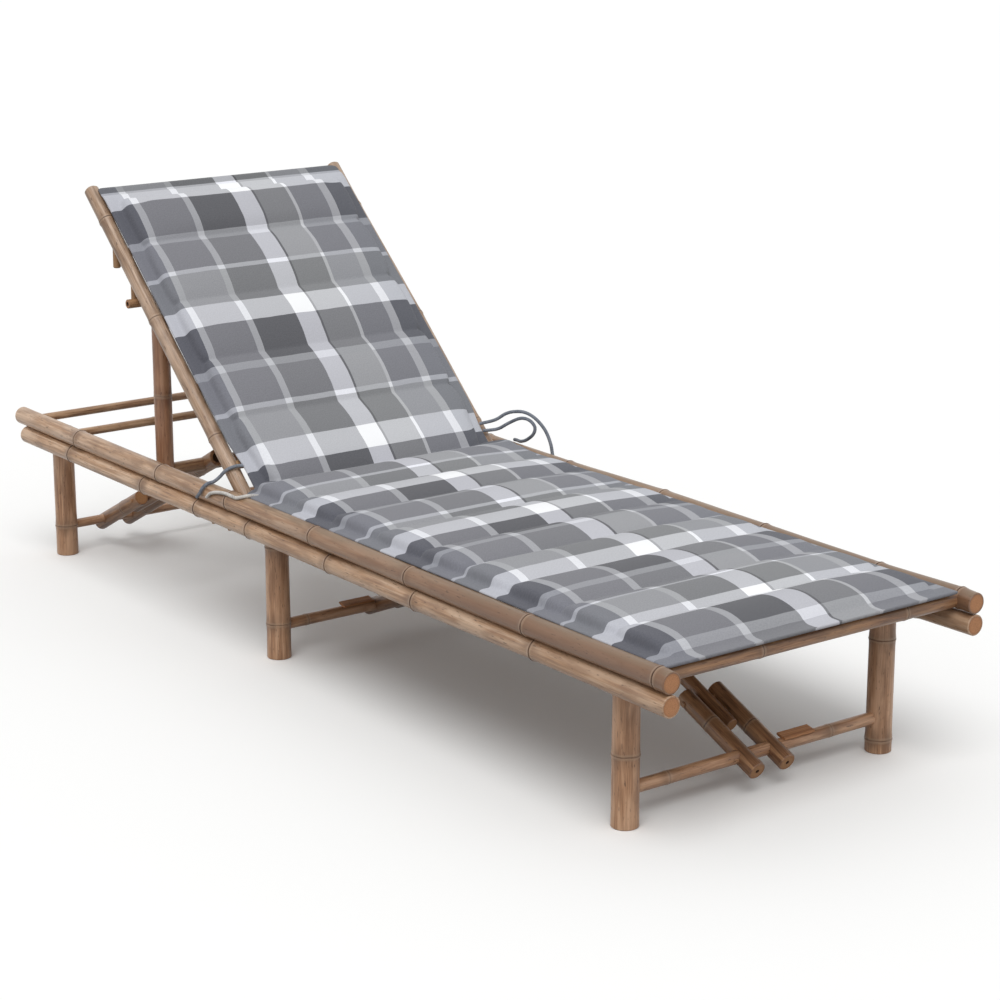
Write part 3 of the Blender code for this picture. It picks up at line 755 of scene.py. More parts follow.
@dataclass
class Sides:
    """The stacked side rails with the dowels that pin them, and the cross rails between them."""

    upper: tuple[tuple[float, ...], ...] = (
        (-0.749, -0.437, -0.190, 0.083, 0.361, 0.673, 0.976),
        (-0.812, -0.530, -0.262, -0.010, 0.256, 0.520, 0.792, 0.968),
    )
    lower: tuple[tuple[float, ...], ...] = (
        (-0.778, -0.496, -0.299, -0.121, 0.130, 0.383, 0.692),
        (-0.700, -0.395, -0.150, 0.100, 0.342, 0.610, 0.880),
    )
    lower_head_x: float = -0.980
    dowel_x: tuple[float, float] = (-0.255, -0.200)
    dowel_r: float = 0.0042
    dowel_below: float = 0.0022
    dowel_top: float = 0.0135
    # The upper rails' form; its top is how strongly painted shade greys their upward side.
    upper_form: dict[str, float] = field(
        default_factory=lambda: {"swell": 0.0015, "top": 0.55, "crook": 0.0016}
    )
    lower_form: dict[str, float] = field(default_factory=lambda: {"swell": 0.0017, "crook": 0.0013})
    # Each cross rail's name, x, height, radius, and its nodes from the middle.
    cross: tuple[tuple[str, float, float, float, tuple[float, ...]], ...] = (
        ("foot_cross_rail", 0.963, LAY.upper_z, 0.0125, (0.185, -0.110)),
        ("head_cross_rail_1", -0.955, LAY.upper_z, 0.0080, (0.060,)),
        ("head_cross_rail_2", -0.800, LAY.upper_z, 0.0080, (-0.120,)),
        ("hinge_rail", LAY.hinge[0], LAY.upper_z, LAY.hinge_r, (0.040,)),
        ("pivot_rail_head", LAY.head_pivot_x, LAY.lower_z, LAY.pivot_r, (-0.020, 0.170)),
        ("pivot_rail_middle", LAY.middle_pivot_x, LAY.lower_z, LAY.pivot_r, (0.120, -0.190)),
        ("pivot_rail_foot", LAY.foot_pivot_x, LAY.lower_z, LAY.pivot_r, (-0.120, 0.210)),
    )

    def rails(self, side: int, word: str) -> None:
        """Make one side's two lengthwise rails.

        Args:
            side: -1 for the near side, 1 for the far one.
            word: the side's name.
        """
        far, y, foot = side > 0, side * LAY.rail_y, LAY.length / 2
        upper = -foot, LAY.upper_z, self.upper[far], self.upper_form, Role.RAIL
        lower = self.lower_head_x, LAY.lower_z, self.lower[far], self.lower_form, Role.LOWER_RAIL
        for level, (head, z, nodes, form, role) in (("upper", upper), ("lower", lower)):
            name, ends = f"rail_{word}_{level}", ((head, y, z), (foot, y, z))
            spots = tuple(x - head for x in nodes)
            dress_pole(Pole(name, "base", *ends, LAY.rail_r, spots, **form), role)

    def dowels(self, side: int, word: str) -> None:
        """Make the dowels that pin one side's rails together.

        Args:
            side: -1 for the near side, 1 for the far one.
            word: the side's name.
        """
        y = side * LAY.rail_y
        low = LAY.lower_z - LAY.rail_r - self.dowel_below
        high = LAY.upper_z - self.dowel_top
        for k, x in enumerate(self.dowel_x):
            name, ends = f"rail_dowel_{word}_{k + 1}", ((x, y, low), (x, y, high))
            dowel = Pole(name, "base", *ends, self.dowel_r, sides=20, chamfer=0.0005)
            dress_pole(dowel, Role.PEG)

    def build(self) -> None:
        """Make the rails, cross rails and dowels."""
        for side in SIDES:
            self.rails(*side)
        for name, x, z, radius, nodes in self.cross:
            spots = tuple(LAY.reach + at for at in nodes)
            role = Role.BRACE if name == "foot_cross_rail" else Role.CROSS
            ends = spar(x, z, -LAY.reach, LAY.reach)
            dress_pole(Pole(name, "base", *ends, radius, spots, sides=28), role)
        for side in SIDES:
            self.dowels(*side)


@dataclass(frozen=True)
class LegFrame:
    """One folding leg frame: two legs on pins, a stretcher with its stop, and the knee brace."""

    name: str
    x: float
    pivot_x: float
    stretcher_r: float
    stretcher_nodes: tuple[float, float]
    leg_nodes: tuple[tuple[float, ...], tuple[float, ...]]
    brace_y: float
    above: float
    knee: float
    stop: tuple[float, float] | None = None
    top: float = 0.020
    leg_flare: float = 0.0005
    leg_taper: float = -0.0009
    pin_inside: float = 0.012
    bore_inside: float = 0.0125
    bore_outside: float = 0.006
    spacing: float = 0.0310
    pair_r: float = 0.0152
    below: float = 0.0385
    pair_nodes: tuple[float, float] = (0.62, 0.48)
    pair_hollow: float = 0.0032
    pair_bore: float = 0.03
    knee_r: float = 0.0045
    knee_gap: float = 0.0010
    knee_proud: float = 0.0018
    link_start: float = 0.0635
    overhang: float = 0.0400
    link_r: float = 0.0110
    link_taper: float = 0.0056
    link_nodes: tuple[float, float] = (0.47, 0.80)
    link_hollow: float = 0.0100
    link_bore: float = 0.04
    socket: float = 0.012
    strip_steps: int = 12
    strip_ragged: float = 0.0006
    strip_sunk: float = 0.0001
    strip: tuple[tuple[float, float], ...] = (
        (-0.0105, 0.0040), (-0.0045, 0.0010), (0.0045, -0.0002), (0.0105, 0.0002),
        (0.0092, 0.0030), (0.0035, 0.0042), (-0.0035, 0.0056), (-0.0092, 0.0066),
    )

    @property
    def body(self) -> str:
        """The CAD body that the legs and the stretcher ride on."""
        return f"leg_frame_{self.name}"

    def legs(self) -> None:
        """Make both legs and their pins."""
        x, z = self.x, LAY.lower_z
        for (side, word), nodes in zip(SIDES, self.leg_nodes):
            y = side * LAY.leg_y
            inside = side * (LAY.leg_y - self.bore_inside)
            outside = side * (LAY.leg_y + LAY.leg_r + self.bore_outside)
            hole = Bore(*spar(x, z, inside, outside), LAY.pin_r + 2 * LAY.fit)
            name, ends = f"leg_{self.name}_{word}", ((x, y, 0.0), (x, y, z + self.top))
            form = {"swell": 0.0012, "taper": self.leg_taper, "sides": 48, "chamfer": 0.0014}
            radius = LAY.leg_r + self.leg_flare
            leg = Pole(name, self.body, *ends, radius, nodes=nodes, bores=(hole,), **form)
            dress_pole(leg, Role.LEG)
            name = f"leg_pin_{self.name}_{word}"
            ends = spar(x, z, side * (LAY.leg_y - self.pin_inside), side * LAY.rail_y)
            pin = Pole(name, "base", *ends, LAY.pin_r, sides=24, chamfer=0.0004)
            dress_pole(pin, Role.PEG)

    def stretcher(self) -> None:
        """Make the stretcher between the legs."""
        reach = LAY.leg_y - LAY.leg_r + self.socket
        nodes = tuple(reach + at for at in self.stretcher_nodes)
        name, ends = f"stretcher_{self.name}", spar(self.x, LAY.stretcher_z, -reach, reach)
        pole = Pole(name, self.body, *ends, self.stretcher_r, nodes, swell=0.0007, sides=28)
        dress_pole(pole, Role.LEG)

    def stop_strip(self, middle: float, length: float) -> None:
        """Make the split-bamboo stop that lies on the stretcher.

        Args:
            middle: where its middle lies across the lounger.
            length: how long it is.
        """
        base = LAY.stretcher_z + self.stretcher_r * math.cos(math.pi / 12) - self.strip_sunk
        bm = bmesh.new()
        rows = []
        for k in range(self.strip_steps + 1):
            y = middle + length * (k / self.strip_steps - 0.5)
            ragged = self.x + self.strip_ragged * math.sin(5.1 * k)
            shape = ((ragged if j in (0, 3) else self.x, *at) for j, at in enumerate(self.strip))
            rows.append([bm.verts.new((edge + x, y, base + z)) for edge, x, z in shape])
        bridge(bm, rows)
        stop = add_object(f"stop_{self.name}_strip", bm)
        shade_round(stop, 50)
        wood = SplitBamboo("#C08A5E", "#93623F")
        start = (self.x, middle, base)
        stop.data.materials.append(wood.build(f"stop_{self.name}", start, Vector((0, 1, 0))))
        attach(stop, self.body)
        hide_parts(f"stop_{self.name}")

    def brace(self) -> None:
        """Make the folding knee brace: a pair of poles on the stretcher, one on its pivot rail."""
        foot = Vector((self.x, 0.0, LAY.stretcher_z))
        top = Vector((self.pivot_x, 0.0, LAY.lower_z))
        span = (top - foot).length
        along = (top - foot).normalized()
        knee = foot + along * self.knee
        run = self.below + self.above
        part = (self.knee - self.link_start) / (span - self.link_start)
        thin = self.link_r + self.link_taper * part
        for (side, word), share in zip(SIDES, self.pair_nodes):
            y = self.brace_y + side * self.spacing
            inner = self.brace_y + side * (thin + self.knee_gap)
            outer = y + side * (self.pair_r + self.knee_proud)
            ends = spar(knee.x, knee.z, inner, outer)
            peg = Pole("knee", "", *ends, self.knee_r, sides=20, chamfer=0.0004)
            ends = spar(foot.x, foot.z, y - self.pair_bore, y + self.pair_bore)
            hole = Bore(*ends, self.stretcher_r + 2 * LAY.fit)
            at = Vector((0.0, y, 0.0))
            pole = Pole(
                f"brace_pair_{self.name}_{word}",
                f"brace_pair_{self.name}",
                foot - along * self.below + at,
                foot + along * self.above + at,
                self.pair_r,
                nodes=(run * share,),
                swell=0.0006,
                taper=-0.0006,
                bores=(hole,),
                hollow=(self.pair_hollow, 0.0),
                extra=(peg,),
                chamfer=0.0016,
            )
            dress_pole(pole, Role.BRACE)
        y = self.brace_y
        at = Vector((0.0, y, 0.0))
        low, high = foot + along * self.link_start + at, top + along * self.overhang + at
        run = (high - low).length
        ends = spar(top.x, top.z, y - self.link_bore, y + self.link_bore)
        hole = Bore(*ends, LAY.pivot_r + 2 * LAY.fit)
        pole = Pole(
            f"brace_link_{self.name}",
            f"brace_link_{self.name}",
            low,
            high,
            self.link_r,
            nodes=tuple(run * share for share in self.link_nodes),
            swell=0.0007,
            taper=self.link_taper,
            bores=(hole,),
            hollow=(0.0, self.link_hollow),
            chamfer=0.0012,
        )
        dress_pole(pole, Role.BRACE)

    def build(self) -> None:
        """Make the leg frame and its brace."""
        self.legs()
        self.stretcher()
        if self.stop:
            self.stop_strip(*self.stop)
        self.brace()


LEG_FRAMES = (
    LegFrame(
        "foot", 0.847, LAY.foot_pivot_x, 0.0105, (-0.183, 0.150), ((0.115,), (0.022, 0.190)),
        brace_y=0.0, above=0.148, knee=0.132, stop=(0.0805, 0.063),
    ),
    LegFrame(
        "middle", -0.118, LAY.middle_pivot_x, 0.0100, (0.090, -0.205), ((0.064, 0.205), (0.130,)),
        brace_y=-0.016, above=0.148, knee=0.132, stop=(-0.0965, 0.063),
    ),
    LegFrame(
        "head", -0.920, LAY.head_pivot_x, 0.0090, (0.030, 0.190), ((0.060,), (0.100,)),
        brace_y=-0.135, above=0.158, knee=0.140,
    ),
)


@dataclass
class Backrest:
    """The hinged backrest frame with its hook pegs, and the prop that hangs from its top bar."""

    rail_s: tuple[float, float] = (-0.020, 0.718)
    nodes: tuple[tuple[float, ...], ...] = ((0.130, 0.402, 0.640), (0.070, 0.330, 0.610))
    top_s: float = 0.698
    top_r: float = 0.0120
    peg_r: float = 0.0072
    peg_x: tuple[float, float] = (-0.5840, -0.6490)
    peg_tip: tuple[float, float] = (0.5690, 0.6220)
    prop_x: float = -0.566
    prop_y: float = 0.229
    prop_r: float = 0.0168
    prop_z: tuple[float, float] = (0.2185, 0.584)
    prop_nodes: tuple[float, float] = (0.388, 0.530)
    bar_r: float = 0.0085
    bar_y: float = 0.296
    travel: float = math.radians(35.8)
    turn: float = math.radians(48.0745)
    slot_steps: int = 14
    slot_step: float = 0.0125
    slot_round: int = 12
    peg_sunk: float = 0.004
    bore: float = 0.03

    def rails(self) -> None:
        """Make the two backrest rails, the top rail and the hook pegs."""
        start, end = self.rail_s
        # The top in this form is how strongly painted shade greys the rails' upward side.
        worn = {"swell": 0.0013, "chamfer": 0.0030, "top": 0.4, "crook": 0.0010}
        for (side, word), nodes in zip(SIDES, self.nodes):
            y = side * LAY.back_rail_y
            name, ends = f"backrest_rail_{word}", (LAY.back(start, 0, y), LAY.back(end, 0, y))
            spots = tuple(s - start for s in nodes)
            ends_y = y - self.bore, y + self.bore
            hole = Bore(*spar(*LAY.hinge, *ends_y), LAY.hinge_r + 2 * LAY.fit)
            rail = Pole(name, "backrest", *ends, LAY.back_rail_r, spots, bores=(hole,), **worn)
            dress_pole(rail, Role.BACK)
            for k, (x, tip) in enumerate(zip(self.peg_x, self.peg_tip)):
                s = (LAY.hinge[0] - x) / math.cos(LAY.recline)
                top = LAY.hinge[1] + s * math.sin(LAY.recline) + self.peg_sunk
                name, ends = f"hook_peg_{word}_{k + 1}", ((x, y, tip), (x, y, top))
                peg = Pole(name, "backrest", *ends, self.peg_r, sides=24, chamfer=0.0016)
                dress_pole(peg, Role.PEG)
        reach = LAY.back_reach
        ends = LAY.back(self.top_s, 0, -reach), LAY.back(self.top_s, 0, reach)
        form = {"swell": 0.0007, "sides": 28}
        top_rail = Pole("backrest_top_rail", "backrest", *ends, self.top_r, (reach * 0.7,), **form)
        dress_pole(top_rail, Role.BACK)

    def slot(self, bar: Vector, radius: float) -> tuple[tuple[float, float], ...]:
        """The way that the pivot rail takes out of the prop's foot while the backrest goes down.

        Args:
            bar: the top bar's axis, as (x, z).
            radius: half the slot's width.

        Returns:
            The slot's outline as (x, z) points.
        """
        rail = Vector((LAY.head_pivot_x, LAY.lower_z))
        hinge = Vector(LAY.hinge)
        path = []
        for k in range(self.slot_steps):
            part = self.slot_step * k
            moved = hinge + Matrix.Rotation(part * self.travel, 2) @ (bar - hinge)
            back = Matrix.Rotation(-part * (self.travel + self.turn), 2)
            path.append(back @ (rail - moved) + bar)
        runs = [(b - a).normalized() for a, b in zip([path[0], *path], [*path[1:], path[-1]])]
        sides = [Vector((-run.y, run.x)) * radius for run in runs]
        left = [p + side for p, side in zip(path, sides)]
        right = [p - side for p, side in zip(path, sides)]
        turns = [math.pi * k / self.slot_round for k in range(1, self.slot_round)]
        back = runs[0] * radius
        cap = [path[0] + sides[0] * math.cos(a) - back * math.sin(a) for a in turns]
        return tuple((p.x, p.y) for p in left[::-1] + cap + right)

    def prop(self) -> None:
        """Make the prop's two poles and its top bar."""
        low, high = self.prop_z
        gap = LAY.back_rail_r + LAY.swell + self.bar_r + LAY.fit
        s = (LAY.hinge[0] - self.prop_x - gap * math.sin(LAY.recline)) / math.cos(LAY.recline)
        at = LAY.back(s, -gap)
        spots = tuple(z - low for z in self.prop_nodes)
        slot = self.slot(Vector((at.x, at.z)), LAY.pivot_r + 2 * LAY.fit)
        form = {"swell": 0.0006, "slot": slot, "chamfer": 0.0012}
        for side, word in SIDES:
            y = side * self.prop_y
            name, ends = f"prop_pole_{word}", ((self.prop_x, y, low), (self.prop_x, y, high))
            dress_pole(Pole(name, "prop_frame", *ends, self.prop_r, spots, **form), Role.PROP)
        ends = spar(at.x, at.z, -self.bar_y, self.bar_y)
        form = {"hollow": (0.0042, 0.0042), "sides": 28}
        bar = Pole("prop_top_bar", "prop_frame", *ends, self.bar_r, **form)
        dress_pole(bar, Role.PEG)

    def build(self) -> None:
        """Make the backrest and its prop."""
        self.rails()
        self.prop()


@dataclass
class Decks:
    """The split-bamboo slats under the cushion, tied to round bearers, on seat and backrest."""

    width: float = 0.045
    thick: float = 0.0070
    pitch: float = 0.063
    counts: tuple[int, int] = (9, 7)
    seat_run: tuple[float, float] = (-0.170, 0.942)
    back_run: tuple[float, float] = (0.050, 0.672)
    seat_bearers: tuple[float, ...] = (-0.160, 0.040, 0.250, 0.460, 0.670, 0.905)
    back_bearers: tuple[float, ...] = (0.065, 0.240, 0.400, 0.560, 0.655)
    bearer_r: float = 0.0080
    bearer_n: float = 0.0040
    sunk: float = 0.0008
    crown: tuple[float, ...] = (0.25, 0.7, 1.2, 1.94, 2.44, 2.89)
    edge: float = 0.0030
    edge_lift: float = 0.0004
    steps: int = 14
    sway: float = 0.0010
    bearer_nodes: tuple[float, float] = (0.21, 0.17)

    def strips(
        self,
        bm: BMesh,
        run: tuple[float, float],
        count: int,
        at: Callable[[float, float, float], Vector],
    ) -> None:
        """Add bowed strips side by side.

        Args:
            bm: the bmesh that takes them.
            run: where they start and end.
            count: how many there are.
            at: gives the world point of a distance along, a height and a y.
        """
        half, edge, rise = self.width / 2, self.edge, self.thick - 0.0032
        shape = [(-half, self.edge_lift), (-half + edge, 0.0)]
        shape += [(half - edge, 0.0), (half, self.edge_lift)]
        shape += [(half * math.cos(a), edge + rise * math.sin(a)) for a in self.crown]
        for k in range(count):
            y = (k - (count - 1) / 2) * self.pitch
            rows = []
            for j in range(self.steps + 1):
                along = between(*run, j / self.steps)
                middle = y + self.sway * math.sin(2.7 * j + 1.9 * k)
                rows.append([bm.verts.new(at(along, up, middle + across)) for across, up in shape])
            bridge(bm, rows)

    def bearer(self, bm: BMesh, start: Point, end: Point, node: float) -> None:
        """Add one round bearer, with a single node this far from its start."""
        Pole("", "", start, end, self.bearer_r, (node,), swell=0.0004, sides=24).ring_mesh(bm)

    def finish(
        self, name: str, bm: BMesh, body: str, start: Point, along: Vector
    ) -> None:
        """Turn one deck's bmesh into the finished piece.

        Args:
            name: the deck's node.
            bm: its bmesh.
            body: the CAD body that it rides on.
            start: where its fibres' own frame begins.
            along: the direction of its fibres.
        """
        deck = add_object(f"{name}_slats", bm)
        shade_round(deck, 40)
        deck.data.materials.append(SplitBamboo().build(name, start, along))
        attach(deck, body)
        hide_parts(name)
        log.info("%s: %d faces", name, len(deck.data.polygons))

    def build(self) -> None:
        """Make both decks."""
        base, reach = LAY.upper_z + self.bearer_r - self.sunk, LAY.reach
        bm = bmesh.new()
        self.strips(bm, self.seat_run, self.counts[0], lambda t, n, y: Vector((t, y, base + n)))
        for x in self.seat_bearers:
            self.bearer(bm, *spar(x, LAY.upper_z, -reach, reach), self.bearer_nodes[0])
        self.finish("seat_deck", bm, "base", (0, 0, base), Vector((1, 0, 0)))
        low, reach, n = self.bearer_n + self.bearer_r - self.sunk, LAY.back_reach, self.bearer_n
        bm = bmesh.new()
        self.strips(bm, self.back_run, self.counts[1], lambda t, n, y: LAY.back(t, low + n, y))
        for s in self.back_bearers:
            ends = LAY.back(s, n, -reach), LAY.back(s, n, reach)
            self.bearer(bm, *ends, self.bearer_nodes[1])
        along = (LAY.back(1, 0) - LAY.back(0, 0)).normalized()
        self.finish("backrest_deck", bm, "backrest", LAY.back(0, low), along)


# ------------------------------------------------------------------------ cushion


@dataclass(frozen=True)
class WovenPlaid:
    """Plain-woven cotton and polyester with a dyed grey plaid: matt, with a faint nap."""

    period: float = 0.307
    half: float = 0.300
    # How far down the cloth the first light row starts.
    first: float = -0.007
    roughness: float = 0.88
    thread: float = 0.0011
    base: float = 0.478
    lift: float = 0.2
    bound_fold_shade: float = -0.085
    # Where each band starts, and what its dye adds to the red, green and blue.
    columns: tuple[Band, ...] = (
        (-0.300, (-0.010, -0.006, 0.016)), (-0.232, (0.160, 0.163, 0.174)),
        (-0.216, (0.010, 0.011, 0.024)), (-0.1280, (0.160, 0.163, 0.172)),
        (-0.1130, (-0.004, -0.002, 0.006)), (-0.0205, (0.262, 0.264, 0.282)),
        (0.0240, (-0.080, -0.079, -0.072)), (0.0290, (0.022, 0.025, 0.030)),
        (0.0985, (0.210, 0.213, 0.220)), (0.1055, (0.004, 0.007, 0.022)),
        (0.1745, (0.160, 0.163, 0.174)), (0.1945, (-0.004, 0.002, 0.020)),
    )
    rows: tuple[Band, ...] = (
        (0.000, (0.262, 0.264, 0.272)), (0.048, (-0.008, -0.008, 0.000)),
        (0.132, (0.104, 0.106, 0.114)), (0.150, (0.010, 0.010, 0.018)),
        (0.222, (0.196, 0.199, 0.208)), (0.232, (0.012, 0.014, 0.016)),
    )
    # Crossings that take the dye more or less: their columns, their row, and how much.
    cells: tuple[tuple[tuple[Point, ...], tuple[float, float], float], ...] = (
        (((0.0290, 0.0985),), (0.150, 0.222), 0.100),
        (((-0.216, -0.1280), (0.1055, 0.1745)), (0.232, 0.307), 0.088),
        (((-0.300, -0.232), (-0.1130, -0.0205), (0.1945, 0.300)), (0.048, 0.132), -0.090),
    )

    def banded(
        self, add: Adder, at: Socket, stops: Sequence[Band], span: Point
    ) -> Socket:
        """The colour of the band that a distance lies in.

        Args:
            add: adds a node to the cloth.
            at: the distance.
            stops: where each band starts, and its colour.
            span: the least and the greatest distance.

        Returns:
            The colour.
        """
        low, high = span
        steps = [(min(max((x - low) / (high - low), 0.0), 1.0), colour) for x, colour in stops]
        return add("ValToRGB", add("MapRange", at, low, high), stops=steps, hard=True)

    def mask(self, cuts: Sequence[tuple[float, float, int]], span: Point) -> list[Band]:
        """Bands that are 1 in one channel inside each cut, and 0 elsewhere.

        Args:
            cuts: where each cut starts and ends, and its channel.
            span: the least and the greatest distance.

        Returns:
            Where each band starts, and its colour.
        """
        low, high = span
        tiny = 1e-6
        edges = {low, *(a for a, _, _ in cuts), *(b for _, b, _ in cuts if b < high - tiny)}
        found = []
        for edge in sorted(edges):
            colour = [0.0, 0.0, 0.0]
            for a, b, channel in cuts:
                if a - tiny <= edge < b - tiny:
                    colour[channel] = 1.0
            found.append((edge, tuple(colour)))
        return found

    def build(self) -> Material:
        """Make the cloth's material, laid by the lay attribute that the mesh carries.

        Returns:
            The finished material.
        """
        material, add = new_material("woven_cotton_plaid")
        lay = add("Attribute lay").node.outputs["Vector"]
        # The dye bleeds a little at each band's edge, and the weft runs a touch uneven: under 1 mm.
        drift = add("TexNoise", lay, 30.0, 1.0).node.outputs["Color"]
        drift = add("VectorMath SUBTRACT", drift, (0.5, 0.5, 0.5))
        lay = add("VectorMath ADD", lay, add("VectorMath SCALE", drift, 0.0022))
        across, down, bound = add("SeparateXYZ", lay).node.outputs
        down = add("Math SUBTRACT", down, self.first)
        down = add("Math FLOORED_MODULO", down, self.period)
        wide, tall = (-self.half, self.half), (0.0, self.period)
        columns = [(at, [self.base + c for c in dye]) for at, dye in self.columns]
        rows = [(at, [self.lift + c for c in dye]) for at, dye in self.rows]
        warp = self.banded(add, across, columns, wide)
        weft = self.banded(add, down, rows, tall)
        spans = [(*cut, k) for k, (cuts, _, _) in enumerate(self.cells) for cut in cuts]
        bands = [(*band, k) for k, (_, band, _) in enumerate(self.cells)]
        over = self.banded(add, across, self.mask(spans, wide), wide)
        under = self.banded(add, down, self.mask(bands, tall), tall)
        under = add("VectorMath MULTIPLY", under, [amount for _, _, amount in self.cells])
        cell = add("VectorMath DOT_PRODUCT", over, under)
        # The bound edge, where the cloth folds over the top rail, is darkened as painted shade.
        edge = add("Math MULTIPLY_ADD", bound, self.bound_fold_shade, -self.lift)
        total = add("VectorMath ADD", warp, weft)
        total = add("VectorMath ADD", total, add("Math ADD", cell, edge))
        # The weave: warp and weft threads 1.1 mm apart, drawn that coarse to show at all.
        waves = add("SeparateXYZ", add("VectorMath SCALE", lay, 2 * math.pi / self.thread))
        warps, wefts = (add("Math SINE", wave) for wave in list(waves.node.outputs)[:2])
        weave = add("Math MULTIPLY", warps, wefts)
        slub = add("TexNoise", lay, 420.0, 2.0)
        fleck = add("MapRange", slub, 0.3, 0.7, -0.020, 0.020)
        total = add("VectorMath ADD", total, add("Math MULTIPLY_ADD", weave, 0.008, fleck))
        total = add("VectorMath MAXIMUM", total, (0.04, 0.04, 0.04))
        total = add("VectorMath MINIMUM", total, (0.972, 0.976, 0.982))
        # The bands add up in display values, as the dyes look, and are turned to linear here.
        inputs = {
            "Base Color": add("Gamma", total, 2.2),
            "Roughness": self.roughness,
            "Normal": add("Bump", 0.28, 0.0003, None, add("Math MULTIPLY_ADD", slub, 0.8, weave)),
            "Sheen Weight": 0.12,
            "Sheen Roughness": 0.5,
            "Specular IOR Level": 0.25,
        }
        return surface(material, inputs)


@dataclass(frozen=True)
class PadRow:
    """One crosswise line of the cushion: where its underside lies, which way is up, how full."""

    x: float
    z: float
    up: float
    lay: float
    half: float
    low: float = 0.0
    rise: float = 0.0
    full: float = 0.0
    seam: bool = True
    bound: float = 0.0


@dataclass
class Cushion:
    """The quilted cushion: nine channels on the seat, five on the back, a flat hem all round."""

    hem: float = 0.0060
    hem_edge: float = 0.55
    hem_round: float = 0.002
    bound_thin: float = 0.5
    seat_seam: float = 0.0100
    back_seam: float = 0.0120
    seat_rise: float = 0.0115
    back_rise: float = 0.0090
    seat_half: float = 0.3030
    far_sink: float = 0.34
    far_gap: float = 0.0170
    corner_half: float = 0.2590
    back_half: float = 0.2670
    lip_half: float = 0.2590
    flange: float = 0.0215
    shoulder: float = 0.0125
    shoulder_ease: float = 0.010
    shoulder_run: float = 0.0185
    rim: tuple[float, ...] = (0.0, 0.0012, 0.005, 0.011, 0.017)
    rim_steps: int = 7
    inner_steps: int = 14
    edge_full: float = 0.76
    seam_full: float = 0.75
    crown_run: float = 0.07
    seat_front: float = 0.982
    front_hem: tuple[float, ...] = (0.0, 0.003, 0.012, 0.023)
    seat_seams: tuple[float, ...] = (
        0.948, 0.835, 0.707, 0.571, 0.456, 0.342, 0.213, 0.084, -0.034, -0.1940,
    )
    seat_wide_x: float = -0.15
    back_seams: tuple[float, ...] = (0.665, 0.552, 0.410, 0.275, 0.142)
    back_start: float = 0.0012
    back_wide_s: tuple[float, float] = (0.04, 0.11)
    bands: tuple[float, ...] = (-0.018, 0.280, 0.597, 0.8655, 1.1325, 1.4045, 1.6825, 1.9650)
    period: float = WovenPlaid.period
    seat_spread: float = 1.10
    seat_shift: float = 0.006
    corner: tuple[float, float] = (-0.1955, 0.2910)
    corner_push: tuple[float, float] = (0.020, -0.005)
    corner_bend: float = 0.060
    corner_push_run: float = 0.075
    corner_push_in: float = 0.03
    seat_grow: float = 0.12
    far_sunk_y: tuple[float, float] = (0.08, 0.24)
    under_n: float = 0.0185
    lip_flat: tuple[tuple[float, float], ...] = (
        (0.665, 0.0185), (0.672, 0.0178), (0.6838, 0.0160), (0.6845, 0.0159), (0.6870, 0.0156),
    )
    lip_turns: tuple[float, ...] = (0.0, 0.3, 0.6, 0.95, 1.3, 1.65, 2.0, 2.35, 2.6)
    bound_s: float = 0.684
    top_s: float = 0.698
    wrap: float = 0.0137
    lip_lay: tuple[float, float] = (0.033, 0.018)
    pressure: float = 4.0
    stiffness: float = 30.0
    fill_frames: int = 20
    swell_cap: float = 0.0035
    parts: tuple[float, ...] = (
        0.0, 0.03, 0.075, 0.13, 0.20, 0.28, 0.37, 0.46, 0.54, 0.63, 0.72, 0.80, 0.87, 0.925, 0.97,
    )

    def channel(self, part: float) -> float:
        """Fullness across a channel, from 0 at its seams to 1 over its flat crown."""
        return 0.72 * (1.0 - abs(2.0 * part - 1.0) ** 2.4) ** 0.5 + 0.28 * math.sin(math.pi * part)

    def plaid(self, run: float) -> float:
        """How far down the plaid a line of the cushion lies.

        Args:
            run: the line's distance from the top seam, down the back and along the seat.

        Returns:
            Its distance down the cloth; each light band starts at a whole number of periods.
        """
        k = min(max(sum(run >= at for at in self.bands) - 1, 0), len(self.bands) - 2)
        low, high = self.bands[k], self.bands[k + 1]
        return self.period * (k + (run - low) / (high - low))

    def seat_rows(self) -> list[PadRow]:
        """The crosswise lines of the seat.

        Returns:
            The lines from the front hem to the hinge.
        """
        x0, z0 = self.corner
        start = self.back_seams[0] - x0
        places = [self.seat_front - inset for inset in self.front_hem]
        found = [PadRow(x, z0, 0.0, self.plaid(start + x), self.seat_half) for x in places]
        for high, low in zip(self.seat_seams, self.seat_seams[1:]):
            for part in self.parts:
                x = between(high, low, part)
                lean = 0.5 * LAY.recline * (1.0 - smooth(x - x0, 0.0, self.corner_bend))
                half = between(self.corner_half, self.seat_half, smooth(x, x0, self.seat_wide_x))
                form = self.seat_seam, self.seat_rise, self.channel(part), part == 0.0
                found.append(PadRow(x, z0, lean, self.plaid(start + x), half, *form))
        return found

    def back_rows(self) -> list[PadRow]:
        """The crosswise lines of the back.

        Returns:
            The lines from the hinge to the last seam.
        """
        found = []
        seams = [self.back_start, *reversed(self.back_seams)]
        for low, high in zip(seams, seams[1:]):
            for part in self.parts:
                s = between(low, high, part)
                base = LAY.back(s, self.under_n)
                lean = LAY.recline * (0.5 + 0.5 * smooth(s, 0.0, self.corner_bend))
                half = between(self.corner_half, self.back_half, smooth(s, *self.back_wide_s))
                form = self.back_seam, self.back_rise, self.channel(part), part == 0.0
                lay = self.plaid(self.back_seams[0] - s)
                found.append(PadRow(base.x, base.z, lean, lay, half, *form))
        return found

